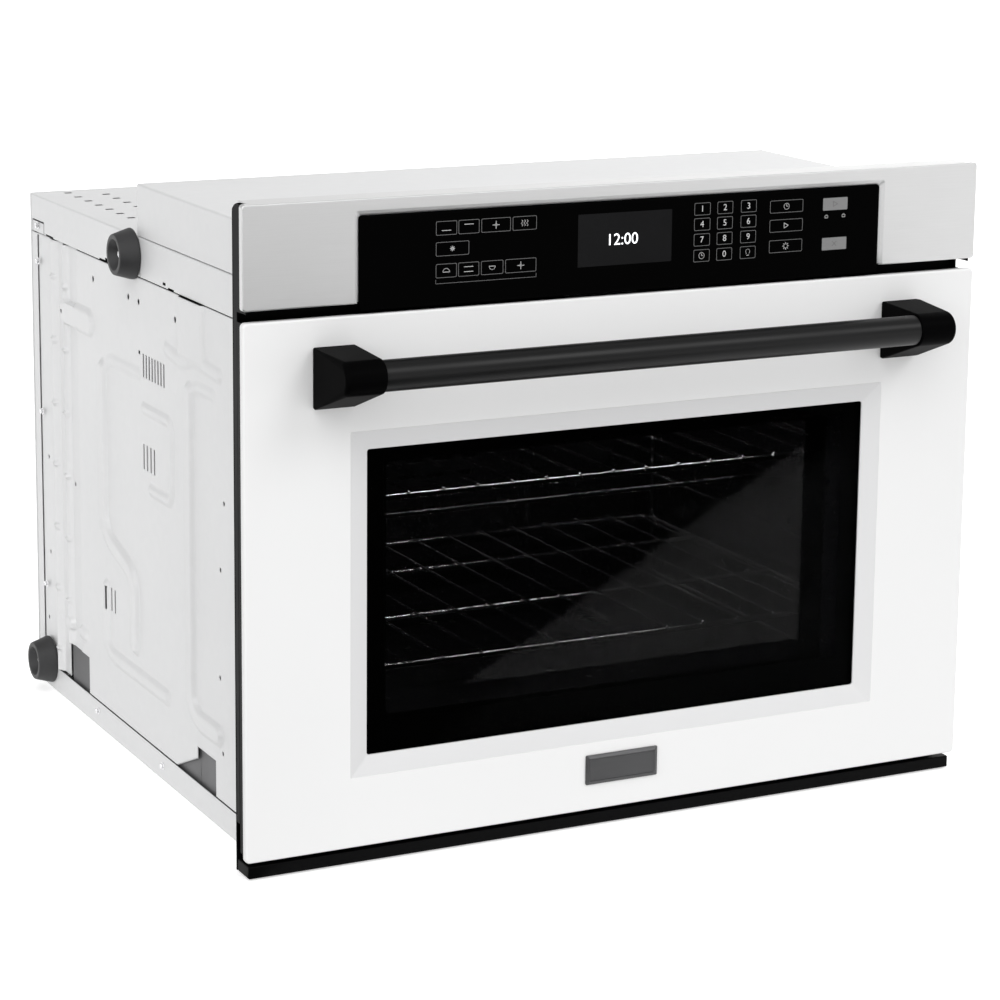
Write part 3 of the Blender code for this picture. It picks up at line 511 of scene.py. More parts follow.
LOOKS = {
    "white_enamel": dict(colour=(0.87, 0.87, 0.87), roughness=0.48, specular=0.3, vary=0.006,
        fine=700, bump=0.08, rough_vary=0.05),
    # The door's white enamel made darker: painted shade on the slope around the glass.
    "bezel_enamel_painted_shade": dict(colour=(0.74, 0.74, 0.745), roughness=0.42, specular=0.3, vary=0.006,
        fine=700, bump=0.06, rough_vary=0.05),
    "stainless": dict(colour=(0.66, 0.66, 0.66), roughness=0.50, metallic=1.0, vary=0.012, broad=3,
        stretch=BRUSHED, fine=22, bump=0.05, rough_vary=0.05),
    "black_steel": dict(colour=(0.0016, 0.0016, 0.0018), roughness=0.45, specular=0.05, vary=0.2,
        fine=1500, bump=0.10),
    "handle_black": dict(colour=(0.0045, 0.0045, 0.0047), roughness=0.36, specular=0.22, vary=0.15,
        fine=1200, bump=0.05),
    # Darker than the bar's black, with its gloss taken away: painted shade on the handle's
    # brackets.
    "bracket_black_painted_shade": dict(colour=(0.0014, 0.0014, 0.0015), roughness=0.45, specular=0.01,
        vary=0.15, fine=1200, bump=0.05),
    "black_glass": dict(colour=(0.0004, 0.0004, 0.0004), roughness=0.12, specular=0.01, vary=0.2,
        bump=0.0),
    "galvanised": dict(colour=(0.72, 0.722, 0.725), roughness=0.52, metallic=0.30, specular=0.35,
        vary=0.02, broad=5, spangle=0.04, fine=260, bump=0.05, rough_vary=0.08),
    # A darkened copy of the zinc steel: painted shade on the feet seen through the side panels'
    # openings.
    "bracket_steel_painted_shade": dict(colour=(0.13, 0.13, 0.133), roughness=0.5, metallic=0.3, specular=0.3,
        vary=0.25, broad=22, fine=260, bump=0.05),
    "cavity_enamel": dict(colour=(0.012, 0.012, 0.014), roughness=0.22, specular=0.4, vary=0.25,
        broad=30, fine=500, bump=0.12, specks=0.08),
    "liner_enamel": dict(colour=(0.010, 0.010, 0.012), roughness=0.20, specular=0.4, vary=0.2,
        broad=30, fine=500, bump=0.10, specks=0.05),
    # The foil is made dark: painted shade behind the casing's vents and holes.
    "foil_painted_shade": dict(colour=(0.10, 0.10, 0.102), roughness=0.5, metallic=1.0, vary=0.15, broad=40,
        fine=60, bump=0.8, bump_depth=0.002, rough_vary=0.12),
    "rubber": dict(colour=(0.032, 0.032, 0.033), roughness=0.50, specular=0.35, vary=0.15,
        broad=50, fine=900, bump=0.2),
    "heater_tube": dict(colour=(0.13, 0.12, 0.115), roughness=0.5, metallic=0.7, vary=0.25,
        broad=40, fine=900, bump=0.25),
    "chrome_wire": dict(colour=(0.80, 0.80, 0.81), roughness=0.16, metallic=1.0, vary=0.04,
        broad=20, fine=600, bump=0.03),
    "clear_glass": dict(colour=(0.005, 0.006, 0.005), roughness=0.04, specular=0.3, vary=0.1,
        alpha=0.04, bump=0.0, rough_vary=0.01),
    "mirror_pane": dict(colour=(0.001, 0.001, 0.001), roughness=0.03, specular=0.65, vary=0.1,
        alpha=0.30, bump=0.0, rough_vary=0.01),
    "tinted_glass": dict(colour=(0.001, 0.001, 0.001), roughness=0.04, specular=0.02, vary=0.1,
        alpha=0.20, bump=0.0, rough_vary=0.01),
    "lamp_glass": dict(colour=(0.55, 0.56, 0.55), roughness=0.12, specular=0.5, vary=0.05,
        bump=0.2, fine=150, coat=0.5),
    "circuit_board": dict(colour=(0.02, 0.11, 0.05), roughness=0.45, vary=0.1, broad=80, fine=700,
        bump=0.3),
    "dark_plastic": dict(colour=(0.02, 0.02, 0.021), roughness=0.5, vary=0.1, fine=1400,
        bump=0.25),
    "zinc_steel": dict(colour=(0.58, 0.58, 0.60), roughness=0.36, metallic=1.0, vary=0.05,
        broad=30, fine=300, bump=0.06),
    "badge_metal": dict(colour=(0.08, 0.08, 0.082), roughness=0.40, metallic=0.9, vary=0.05,
        broad=20, stretch=BRUSHED, fine=30, bump=0.12),
    "gasket_fibre": dict(colour=(0.14, 0.14, 0.145), roughness=0.85, vary=0.25, broad=400,
        fine=1100, bump=0.9, bump_depth=0.0006),
    "key_print": dict(colour=(0.16, 0.16, 0.16), roughness=0.6, specular=0.1, vary=0.03, bump=0.0),
    "digit_print": dict(colour=(0.60, 0.60, 0.60), roughness=0.6, specular=0.1, vary=0.03,
        bump=0.0),
    "filled_key": dict(colour=(0.24, 0.24, 0.24), roughness=0.5, specular=0.1, vary=0.03,
        bump=0.0),
    "display_dark": dict(colour=(0.007, 0.007, 0.0075), roughness=0.25, specular=0.05, vary=0.2,
        broad=15, bump=0.0),
    "display_light": dict(colour=(0.95, 0.97, 1.0), roughness=0.4, vary=0.01, bump=0.0,
        emission=1.0),
}
FINISHES = {name: finish(name, **look) for name, look in LOOKS.items()}

# The CAD nodes that stay as they are, by their finish.
CARRIED_OVER = {
    "cavity_enamel": ["cavity_roof", "cavity_floor", "cavity_wall_left", "cavity_wall_right",
                      "cavity_back"],
    # The insulation's foil finish is darkened: painted shade seen through the casing's openings.
    "foil_painted_shade": ["insulation_blanket", "rear_insulation"],
    "circuit_board": ["control_board"],
    "heater_tube": ["bake_element", "convection_element"],
    "zinc_steel": ["convection_motor", "convection_fan", "blower_housing", "blower_motor",
                   "latch_motor", "latch_hook", "hinge_bracket_left", "hinge_bracket_right",
                   "hinge_pin_left", "hinge_pin_right", "hinge_arm_left", "hinge_arm_right"],
    "dark_plastic": ["display_module", "blower_wheel", "door_switch", "switch_plunger"],
    "black_steel": ["door_frame"],
    "clear_glass": ["middle_glass"],
    "mirror_pane": ["inner_glass"],
}


def dress_carried_over():
    """Give each CAD node that stays its finish."""
    for kind, nodes in CARRIED_OVER.items():
        for node in nodes:
            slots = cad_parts[node].data.materials
            if not slots:
                slots.append(None)
            for index in range(len(slots)):
                slots[index] = FINISHES[kind]


# ---------------------------------------------------------------- casing
def side_panel_relief():
    """The ribs and patches pressed into a side panel, over (y, z)."""
    jogged = soft_path([(0.450, 0.382), (0.450, 0.214), (0.362, 0.190), (0.362, 0.146),
                        (0.362, 0.120)], 0.030)
    foot = soft_path([(0.448, 0.158), (0.448, 0.100), (0.430, 0.090), (0.275, 0.090)], 0.020)
    front = soft_path([(0.208, 0.403), (0.208, 0.105), (0.190, 0.092), (0.140, 0.092)], 0.025)
    shoulder = soft_path([(0.450, 0.382), (0.430, 0.396), (0.345, 0.396)], 0.020)
    front_head = soft_path([(0.208, 0.403), (0.190, 0.412), (0.150, 0.412)], 0.020)
    bracket = soft_path([(0.332, 0.365), (0.262, 0.365), (0.256, 0.355), (0.256, 0.296),
                         (0.262, 0.287), (0.315, 0.287)], 0.014)
    upper_curve = soft_path([(0.267, 0.434), (0.225, 0.428), (0.200, 0.437), (0.133, 0.433)],
                            0.020)
    reliefs = [
        rib(jogged, 0.012, 0.0042, 0.005), rib(foot, 0.008, 0.0032, 0.004),
        rib(front, 0.013, 0.0042, 0.005), rib(shoulder, 0.003, 0.0018),
        rib(front_head, 0.003, 0.0018), rib(bracket, 0.004, 0.0026, 0.004),
        rib(upper_curve, 0.005, 0.0024), pad((0.172, 0.231), (0.437, 0.490), 0.004, 0.0034),
        rib([(0.4885, 0.422), (0.564, 0.422)], 0.020, 0.0032, 0.004),
        rib([(0.515, 0.090), (0.587, 0.090)], 0.006, 0.0024),
        pad((0.573, 0.591), (0.029, 0.491), 0.002, -0.0026, 0.003),
        pad((0.532, 0.555), (0.072, 0.491), 0.002, -0.0026, 0.006),
        pad((0.615, 0.652), (0.029, 0.491), 0.002, -0.0018, 0.004),
    ]
    for column, first in ((0.600, 0.453), (0.564, 0.4475)):
        reliefs.append(rib([(column, 0.030), (column, 0.490)], 0.0015, 0.0026, 0.0022))
        for index in range(7):
            z = first - index * 0.0665
            reliefs.append(pad((column - 0.004, column + 0.004), (z - 0.001, z + 0.001), 0.001,
                               0.0040, 0.0015))
    return reliefs


def side_panel_cuts():
    """The openings, louvre slots and screw holes of a side panel."""
    foot = 0.0285
    slots = [(0.506, 0.572, foot, 0.068), (0.6520, 0.6542, 0.031, 0.489),
             (0.341, 0.3465, 0.4160, 0.4195)]
    steps = 26
    for index in range(steps):
        y = 0.149 + 0.104 * index / steps
        rise = 0.036 if index < steps * 0.45 else 0.024 * (steps - index) / (steps * 0.55)
        slots.append((y, y + 0.104 / steps, foot, foot + rise))
    for z, half in ((0.4215, 0.0020), (0.4375, 0.0010), (0.4065, 0.0010)):
        slots.append((0.5665, 0.5715, z - half, z + half))
    for first, last, count, low, high in (
            (0.2766, 0.3325, 8, 0.395, 0.418), (0.305, 0.334, 4, 0.304, 0.329),
            (0.424, 0.455, 4, 0.136, 0.160)):
        for index in range(count):
            y = first + (last - first) * index / (count - 1)
            slots.append((y - 0.0019, y + 0.0019, low, high))
    holes = [(0.476, 0.469), (0.373, 0.4675), (0.344, 0.467), (0.245, 0.466), (0.124, 0.316),
             (0.134, 0.2515), (0.137, 0.148), (0.131, 0.0765), (0.632, 0.2545),
             (0.5485, 0.2425), (0.632, 0.151), (0.641, 0.0765)]
    big = 4
    return slots, [(y, z, 0.0031 if index < big else 0.0024)
                   for index, (y, z) in enumerate(holes)]


def build_side_panels():
    """Both pressed sides, and the steel feet that show through their lower openings."""
    slots, holes = side_panel_cuts()
    reliefs = side_panel_relief()
    for side, sign in (("left", -1), ("right", 1)):
        node = "side_panel_" + side
        low, high = corners(node)
        face = max(abs(low.x), abs(high.x))
        form = Form()
        pressed_sheet(form, (low.y, high.y), (low.z + 0.0012, high.z - 0.0008), 0.0022, reliefs,
                      lambda y, z, h: (sign * (face - SHEET + h), y, z), slots, holes)
        form.piece("pressed_side_" + side, "galvanised", node, "galvanised", sharp=50, sheet=SHEET,
                   centred=True)
        brackets = Form()
        inside = sorted((sign * (face - 0.0048), sign * (face - 0.0040)))
        for y in ((0.1455, 0.258), (0.502, 0.568)):
            brackets.box((inside[0], y[0], low.z - 0.020), (inside[1], y[1], 0.073), 0.0002, 1)
        brackets.box((inside[0], 0.195, low.z - 0.020), (inside[1] + 0.0004, 0.197, 0.073))
        # The feet take the darkened steel: painted shade inside the openings.
        brackets.piece("foot_brackets_" + side, "bracket_steel_painted_shade", None, "zinc_steel")


def build_top_cover():
    """The top sheet with rows of vents, folded down over the side panels."""
    low, high = corners("top_cover")
    drop = low.z + HAIR
    inset = SHEET / 2
    fold = Fold([(low.x + inset, drop), (low.x + inset, high.z - inset),
                 (high.x - inset, high.z - inset), (high.x - inset, drop)], 0.0018)
    middle = fold.length() / 2
    slots = []
    for x, first, count in ((0.3125, 0.655, 7), (0.279, 0.631, 4)):
        for index in range(count):
            y = first - index * 0.0323
            for u in (middle - x, middle + x):
                slots.append((u - 0.0042, u + 0.0042, y - 0.0036, y + 0.0036))
    tab = 0.012
    cut = 0.0009
    outlines = [(0.0, tab, y - cut, y + cut) for y in (0.338, 0.372, 0.628, 0.6645)]
    outlines += [(tab - cut, tab + cut, 0.338, 0.372), (tab - cut, tab + cut, 0.628, 0.6645)]
    outlines += [(0.0, 0.0016, 0.425, 0.455), (0.0, 0.0016, 0.246, 0.262),
                 (0.0, 0.0016, 0.598, 0.622), (0.0, 0.0022, 0.055, 0.066),
                 (0.0020, 0.0048, 0.268, 0.276), (0.0010, 0.0040, 0.425, 0.438)]
    for u0, u1, v0, v1 in outlines:
        slots.append((u0, u1, v0, v1))
        slots.append((fold.length() - u1, fold.length() - u0, v0, v1))
    form = bent_sheet(fold, (low.y, high.y), 0.006, slots=slots)
    form.piece("louvred_top_cover", "galvanised", "top_cover", "galvanised", sharp=50,
               sheet=0.0005, centred=True)


def build_control_box():
    """The raised cover behind the fascia: one folded sheet and a back wall."""
    low, high = corners("control_box_cover")
    inset = SHEET / 2
    fold = Fold([(low.x + inset, low.z + HAIR), (low.x + inset, high.z - inset),
                 (high.x - inset, high.z - inset), (high.x - inset, low.z + HAIR)], 0.0018)
    form = bent_sheet(fold, (low.y, high.y - 0.002), 0.02)
    form.piece("folded_control_cover", "galvanised", "control_box_cover", "galvanised", sharp=50,
               sheet=SHEET, centred=True)

    slots = [(-0.30 + index * 0.0125, -0.2985 + index * 0.0125 + 0.002, 0.545, 0.568)
             for index in range(14)]
    slots += [(-u1, -u0, v0, v1) for u0, u1, v0, v1 in slots]
    back = Form()
    pressed_sheet(back, (low.x + 0.002, high.x - 0.002), (low.z, high.z - 0.002), 0.008, [],
                  lambda u, v, h: (u, high.y - inset, v), slots)
    back.piece("control_cover_back", "galvanised", None, "galvanised", sheet=SHEET, centred=True)


def build_base_pan():
    """The bottom sheet with its folded sides, slots and two stiffening ribs."""
    low, high = corners("base_pan")
    inset = SHEET / 2
    fold = Fold([(low.x + inset, high.z), (low.x + inset, low.z + inset),
                 (high.x - inset, low.z + inset), (high.x - inset, high.z)], 0.004)
    middle = fold.length() / 2
    slots = []
    for row in range(3):
        for index in range(10):
            x = -0.18 + index * 0.04
            y = 0.12 + row * 0.16
            slots.append((middle + x - 0.001, middle + x + 0.001, y, y + 0.045))
    reliefs = [rib([(middle + x, 0.10), (middle + x, 0.60)], 0.016, 0.003)
               for x in (-0.26, 0.26)]
    form = bent_sheet(fold, (low.y, high.y), 0.008, reliefs, slots)
    form.piece("pressed_base_pan", "galvanised", "base_pan", "galvanised", sharp=50, sheet=SHEET,
               centred=True)


def build_rear_panel():
    """The back sheet: louvres, a pressed frame and the motor's access cover."""
    low, high = corners("rear_panel")
    slots = []
    for row in range(3):
        z = 0.404 + row * 0.030
        for index in range(12):
            x = -0.1285 + index * 0.0215
            slots.append((x, x + 0.017, z - 0.004, z + 0.004))
    for row in range(6):
        for x in (-0.30, 0.25):
            z = 0.12 + row * 0.014
            slots.append((x, x + 0.05, z - 0.0015, z + 0.0015))
    reliefs = [
        rib(arc((0.0, 0.267), 0.085, 0, 360, 30), 0.006, 0.0022, 0.004),
        rib(soft_path([(-0.305, 0.060), (0.305, 0.060), (0.305, 0.200)], 0.03), 0.010, 0.0022),
        rib(soft_path([(-0.305, 0.200), (-0.305, 0.060)], 0.03), 0.010, 0.0022),
        rib([(-0.22, 0.36), (-0.22, 0.49)], 0.010, 0.0022),
        rib([(0.175, 0.36), (0.175, 0.49)], 0.010, 0.0022),
    ]
    form = Form()
    back = high.y
    pressed_sheet(form, (low.x, high.x), (low.z, high.z), 0.0045, reliefs,
                  lambda u, v, h: (u, back - SHEET / 2 - abs(h), v), slots)
    form.piece("pressed_rear_panel", "galvanised", "rear_panel", "galvanised", sharp=50,
               sheet=SHEET, centred=True)

    low, high = corners("terminal_cover")
    cover = Form()
    hole = 0.011
    pressed_sheet(cover, (low.x, high.x), (low.z, high.z), 0.004, [],
                  lambda u, v, h: (u, (low.y + high.y) / 2, v), (),
                  [(0.26, 0.425, hole), (0.212, 0.479, 0.002), (0.308, 0.479, 0.002)])
    cover.piece("terminal_cover_plate", "zinc_steel", "terminal_cover", "zinc_steel",
                sheet=high.y - low.y - HAIR, centred=True)


def build_casing_screws():
    """Screws on both sides and along the back."""
    form = Form()
    side = abs(corners("side_panel_left")[0].x)
    for sign in (-1, 1):
        axis = (sign, 0, 0)
        for y, z, radius in (
                (0.645, 0.500, 0.0032), (0.646, 0.462, 0.0030), (0.642, 0.302, 0.0030),
                (0.638, 0.115, 0.0030), (0.071, 0.497, 0.0032), (0.478, 0.019, 0.0030),
                (0.289, 0.017, 0.0030)):
            form.screw((sign * side, y, z), axis, radius)
    back = corners("rear_panel")[1].y
    for x in (-0.335, -0.17, 0.0, 0.17, 0.335):
        for z in (0.014, 0.517):
            form.screw((x, back, z), (0, 1, 0), 0.0012)
    form.piece("casing_screws", "chrome_wire", None, "zinc_steel")


def build_bumpers():
    """Rubber stops: a moulded cone with a cup, and the screw that holds it."""
    for side, sign in (("left", -1), ("right", 1)):
        for level in ("upper", "lower"):
            node = "bumper_%s_%s" % (side, level)
            low, high = corners(node)
            centre = (low + high) / 2
            base = Vector((sign * min(abs(low.x), abs(high.x)), centre.y, centre.z))
            rise = high.x - low.x
            form = Form()
            form.turned([
                (0, 0.0005), (0.0246, 0.0), (0.0250, 0.0008), (0.0248, 0.0022),
                (0.0203, rise - 0.0018), (0.0197, rise - 0.0004), (0.0190, rise),
                (0.0158, rise), (0.0151, rise - 0.0004), (0.0146, rise - 0.0014),
                (0.0098, 0.0108), (0.0090, 0.0092), (0.0080, 0.0085), (0, 0.0085)],
                base, (sign, 0, 0), 64)
            form.piece("moulded_" + node, "rubber", node, "rubber")
            screw = Form()
            screw.turned([(0, 0.0085), (0.0062, 0.0085), (0.0062, 0.0093), (0.0046, 0.0097),
                          (0.0044, 0.0120), (0.0030, 0.0138), (0, 0.0143)],
                         base, (sign, 0, 0), 32)
            screw.piece(node + "_screw", "chrome_wire", None, "zinc_steel")


def build_trim():
    """The black rail under the door, its edges softened."""
    form = Form()
    form.box(*corners("bottom_trim"), 0.0012, 3)
    form.piece("bottom_rail", "black_steel", "bottom_trim", "black_steel")


def build_front_frame():
    """The black plate around the cavity, and its side walls with their round corners."""
    low, high = corners("front_frame")
    front = 0.0305
    back = 0.0335
    gauge = 0.0015
    seat = back - gauge / 2
    corner = 0.006
    cavity = (-0.2945, 0.2945, 0.0845, 0.4495)
    slots = [cavity, (-0.24, 0.24, 0.5012, 0.512), (-0.012, 0.022, 0.4890, 0.4970),
             (0.191, 0.199, 0.4915, 0.4995), (-0.3365, -0.3225, 0.0225, 0.0445),
             (0.3225, 0.3365, 0.0225, 0.0445)]
    slots += [(x - 0.017, x + 0.017, 0.5225, 0.5255) for x in
              [-0.22 + 0.044 * index for index in range(11)]]
    holes = [(sign * 0.361, z, 0.0026) for sign in (-1, 1) for z in (0.085, 0.275, 0.465)]
    raised = pad((-0.316, 0.316), (0.064, 0.470), 0.014, 0.0012, 0.004)

    def place(x, z, h):
        reach = Vector((abs(x) - high.x + corner, z - high.z + corner))
        if reach.x > 0 and reach.y > 0:
            round_reach = reach * (max(reach) / reach.length)
            x = math.copysign(high.x - corner + round_reach.x, x)
            z = high.z - corner + round_reach.y
        return (x, seat - h, z)

    form = Form()
    pressed_sheet(form, (low.x, high.x), (low.z, high.z), 0.0045, [raised], place,
                  slots, holes,
                  bends=[sign * (high.x - corner * part / 4) for sign in (-1, 1)
                         for part in range(1, 5)])
    form.piece("front_frame_plate", "black_steel", "front_frame", "black_steel", sheet=gauge,
               centred=True)

    walls = Form()
    wall_break = 0.512
    foot = 0.0465
    outline = [(front + 0.001, foot)]
    outline += arc((front + 0.001 - corner, high.z - corner), corner, 0, 90, 6)
    outline += arc((low.y + 0.002, high.z - 0.002), 0.002, 90, 180, 4)
    outline += [(low.y, wall_break), (0.024, wall_break), (0.024, foot)]
    for sign in (-1, 1):
        x = sorted((sign * high.x, sign * (high.x - 0.0018)))
        walls.prism(outline, x, 0.0004, 1, axis="x")
    walls.piece("front_frame_walls", "black_steel", None, "black_steel")

    screws = Form()
    for sign in (-1, 1):
        for z in (0.110, 0.267, 0.425):
            screws.screw((sign * 0.3315, seat - gauge, z), (0, -1, 0), 0.0030)
    for x in (-0.21, -0.07, 0.07, 0.21):
        screws.screw((x, seat - gauge, 0.0545), (0, -1, 0), 0.0030)
    screws.piece("front_frame_screws", "black_steel", None, "zinc_steel")


# ---------------------------------------------------------------- controls
BEVEL = 0.0050                # steel slope around the control glass


def arch(half, low, high, y, radius, foot, steps=5):
    """An open path around a plate with a gap in its foot, from one side of the gap over the
    top to the other."""
    r = radius
    left = arc((-half + r, low + r), r, 270, 180, steps)
    left += arc((-half + r, high - r), r, 180, 90, steps)
    points = [(-foot, low)] + left + [(-px, pz) for px, pz in left[::-1]] + [(foot, low)]
    return [(px, y, pz) for px, pz in points]


def notch_path(half, low, high, y, radius, steps=5):
    """The same number of points around the notch that the glass lies in."""
    r = radius
    left = [(-half, low + (high - r - low) * step / (steps + 2)) for step in range(steps + 2)]
    left += arc((-half + r, high - r), r, 180, 90, steps)
    points = left + [(-px, pz) for px, pz in left[::-1]]
    return [(px, y, pz) for px, pz in points]


def build_fascia():
    """The steel face: two wings and the strip over the glass, with a slope down to it."""
    low, high = corners("control_fascia")
    glass_low, glass_high = corners("control_glass")
    notch = glass_high.x + HAIR
    notch_top = glass_high.z + HAIR
    lip = corners("door_skin")[1].y
    edge = 0.0014
    round_corner = 0.003
    foot = notch + BEVEL
    rings = [arch(high.x, low.z, high.z, lip, round_corner, foot)]
    for step in range(5):
        angle = math.radians(90 * step / 4)
        inset = edge * (1 - math.cos(angle))
        rings.append(arch(high.x - inset, low.z + inset, high.z - inset,
                          edge * (1 - math.sin(angle)), round_corner, foot))
    for inset, y, radius in ((BEVEL, 0.0, 0.0035), (BEVEL - 0.0005, 0.0002, 0.0034),
                             (0.0002, 0.0030, 0.0028), (0.0, 0.0042, 0.0026)):
        rings.append(notch_path(notch + inset, low.z + edge, notch_top + inset, y, radius))
    form = Form()
    form.loft(rings, closed=False)
    form.piece("brushed_fascia", "stainless", "control_fascia", "stainless", sharp=24,
               sheet=0.0013)
    wrap = corners("front_frame")[1].x - 0.004
    returns = Form()
    returns.box((-wrap, lip - 0.0005, high.z - 0.0012), (wrap, high.y, high.z - 0.0001),
                0.0003, 1)
    for sign in (-1, 1):
        x = sorted((sign * (high.x - 0.004), sign * (notch + 0.002)))
        returns.box((x[0], 0.0014, low.z + 0.0002), (x[1], lip, low.z + 0.0012), 0.0003, 1)
    returns.piece("fascia_returns", "stainless", None, "stainless")


def build_control_glass():
    """The flat black plate that the keys are printed on."""
    low, high = corners("control_glass")
    form = Form()
    form.prism(rounded((low.x, high.x), (low.z, high.z), 0.0028), (low.y, high.y), 0.0005)
    form.piece("control_glass_plate", "black_glass", "control_glass", "black_glass")


def key_outline(form, x, z, y, width=0.00045, corner=0.0012):
    """A thin frame around a key."""
    outer = rounded(x, z, corner, 3)
    inner = rounded((x[0] + width, x[1] - width), (z[0] + width, z[1] - width),
                    corner - width * 0.5, 3)
    form.band(outer, inner, (y, y + 0.00006))


def stroke(form, points, y, width):
    """A drawn line: a flat strip with square ends along (x, z) points."""
    for start, end in zip(points, points[1:]):
        run = Vector((end[0] - start[0], end[1] - start[1]))
        if run.length == 0:
            continue
        ahead = run.normalized() * width * 0.35
        across = Vector((-run.y, run.x)).normalized() * width / 2
        first = Vector(start) - ahead
        last = Vector(end) + ahead
        outline = [first - across, last - across, last + across, first + across]
        form.prism([(p.x, p.y) for p in outline], (y, y + 0.00006))


def spokes(inner, outer, turns):
    """Straight lines outwards from the centre, at angles in degrees."""
    return [[(r * math.cos(math.radians(turn)), r * math.sin(math.radians(turn)))
             for r in (inner, outer)] for turn in turns]


def wave(x):
    """An upright wavy line."""
    return [(x + 0.35 * math.sin(t * 1.2), -1.2 + 2.4 * t / 8) for t in range(9)]


# Plain pictograms about a centre, as lists of lines.
SYMBOLS = {
    "low_heat": [[(-2, -1), (2, -1)]],
    "high_heat": [[(-2, 1), (2, 1)]],
    "both": [[(-2, 1), (2, 1)], [(-2, -1), (2, -1)]],
    "fan": spokes(0, 1.5, (0, 90, 180, 270)) + [arc((0, 0), 0.5, 0, 360, 8)],
    "steam": [wave(-1.2), wave(0), wave(1.2)],
    "star": spokes(-1, 1, (0, 45, 90, 135)),
    "clock": [arc((0, 0), 1.3, 0, 360, 20), [(0, 0.8), (0, 0), (0.6, 0)]],
    "play": [[(-1, -1.1), (1.1, 0), (-1, 1.1), (-1, -1.1)]],
    "gear": [arc((0, 0), 0.9, 0, 360, 20)] + spokes(1, 1.5, range(0, 360, 45)),
    "bulb": [arc((0, 0.4), 1, -50, 230, 20), [(-0.5, -1.2), (0.5, -1.2)]],
    "loaf": [arc((0, -0.6), 1.5, 0, 180, 12) + [(-1.5, -0.6), (1.5, -0.6)]],
    "bowl": [arc((0, 0.5), 1.4, 180, 360, 12) + [(-1.4, 0.5)]],
    "lock": [[(-0.7, -1), (0.7, -1), (0.7, 0), (-0.7, 0), (-0.7, -1)],
             arc((0, 0), 0.45, 0, 180, 8)],
    "cross": [[(-1, -1), (1, 1)], [(-1, 1), (1, -1)]],
}


def draw_symbol(form, kind, centre, y, width=0.0005):
    """A pictogram's lines, drawn as strips about a centre."""
    size = 0.0022
    for line in SYMBOLS[kind]:
        stroke(form, [(centre[0] + size * px, centre[1] + size * pz) for px, pz in line], y,
               width)


def text_mesh(form, words, size, centre, y):
    """Digits as thin solid letters facing the front."""
    curve = bpy.data.curves.new("digits", "FONT")
    curve.body = words
    curve.size = size
    curve.extrude = 0.00003
    curve.align_x = "CENTER"
    curve.align_y = "CENTER"
    curve.resolution_u = 4
    holder = bpy.data.objects.new("digits", curve)
    bpy.context.scene.collection.objects.link(holder)
    evaluated = holder.evaluated_get(bpy.context.evaluated_depsgraph_get())
    mesh = bpy.data.meshes.new_from_object(evaluated)
    points = [(centre[0] + vert.co.x, y - vert.co.z, centre[1] + vert.co.y)
              for vert in mesh.vertices]
    form.add(points, [list(face.vertices) for face in mesh.polygons])
    bpy.data.objects.remove(holder, do_unlink=True)
    bpy.data.meshes.remove(mesh)


def build_print():
    """Key outlines, digits, plain symbols and the clock display on the control glass."""
    surface = corners("control_glass")[0].y - 0.00008
    lines = Form()
    digits = Form()
    filled = Form()

    columns = ((0.0670, 0.0840), (0.0914, 0.1080), (0.1166, 0.1333))
    tops = (0.5850, 0.5708, 0.5564, 0.5417)
    tall = 0.0115
    names = (("1", "2", "3"), ("4", "5", "6"), ("7", "8", "9"), ("clock", "0", "bulb"))
    for top, row in zip(tops, names):
        for x, name in zip(columns, row):
            key_outline(lines, x, (top - tall, top), surface)
            centre = (sum(x) / 2, top - tall / 2)
            if name.isdigit():
                text_mesh(digits, name, 0.0082, centre, surface)
            else:
                draw_symbol(digits, name, centre, surface)

    for top, name in ((0.5827, "clock"), (0.5647, "play"), (0.5454, "gear")):
        key_outline(lines, (0.148, 0.184), (top - 0.0118, top), surface)
        draw_symbol(digits, name, (0.166, top - 0.0059), surface)

    for x, row in (((-0.195, -0.1745), 0), ((-0.1730, -0.1525), 0), ((-0.1505, -0.1215), 0),
                   ((-0.1195, -0.0955), 0), ((-0.195, -0.1625), 1), ((-0.195, -0.1745), 2),
                   ((-0.1730, -0.1525), 2), ((-0.1505, -0.1285), 2), ((-0.1265, -0.0955), 2)):
        top = (0.5830, 0.5644, 0.5450)[row]
        key_outline(lines, x, (top - 0.0125, top), surface)
    left_symbols = (
        ("low_heat", -0.1848, 0.5768), ("high_heat", -0.1628, 0.5768), ("fan", -0.136, 0.5768),
        ("steam", -0.1075, 0.5768), ("star", -0.1788, 0.5582), ("loaf", -0.1848, 0.5388),
        ("both", -0.1628, 0.5388), ("bowl", -0.1395, 0.5388), ("fan", -0.111, 0.5388))
    for name, x, z in left_symbols:
        draw_symbol(digits, name, (x, z), surface)
    bracket = [(-0.195, 0.5310), (-0.195, 0.5275), (-0.0955, 0.5275), (-0.0955, 0.5310)]
    stroke(lines, bracket, surface, 0.0004)

    for top, name in ((0.5820, "play"), (0.5444, "cross")):
        key = rounded((0.206, 0.233), (top - 0.0117, top), 0.0008, 3)
        filled.prism(key, (surface, surface + 0.00006))
        draw_symbol(lines, name, (0.2195, top - 0.0058), surface - 0.00007)
    for x in (0.2100, 0.2290):
        draw_symbol(digits, "lock", (x, 0.5655), surface, 0.0004)

    lines.piece("key_outlines", "key_print", None, "dark_plastic")
    digits.piece("key_digits", "digit_print", None, "dark_plastic")
    filled.piece("filled_keys", "filled_key", None, "dark_plastic")

    screen = Form()
    screen.prism(rounded((-0.0535, 0.0435), (0.5330, 0.5810), 0.0008),
                 (surface, surface + 0.00006))
    screen.piece("display_area", "display_dark", None, "dark_plastic")
    clock = Form()
    text_mesh(clock, "12:00", 0.0150, (-0.0080, 0.5560), surface - 0.00008)
    clock.piece("display_clock", "display_light", None, "dark_plastic")


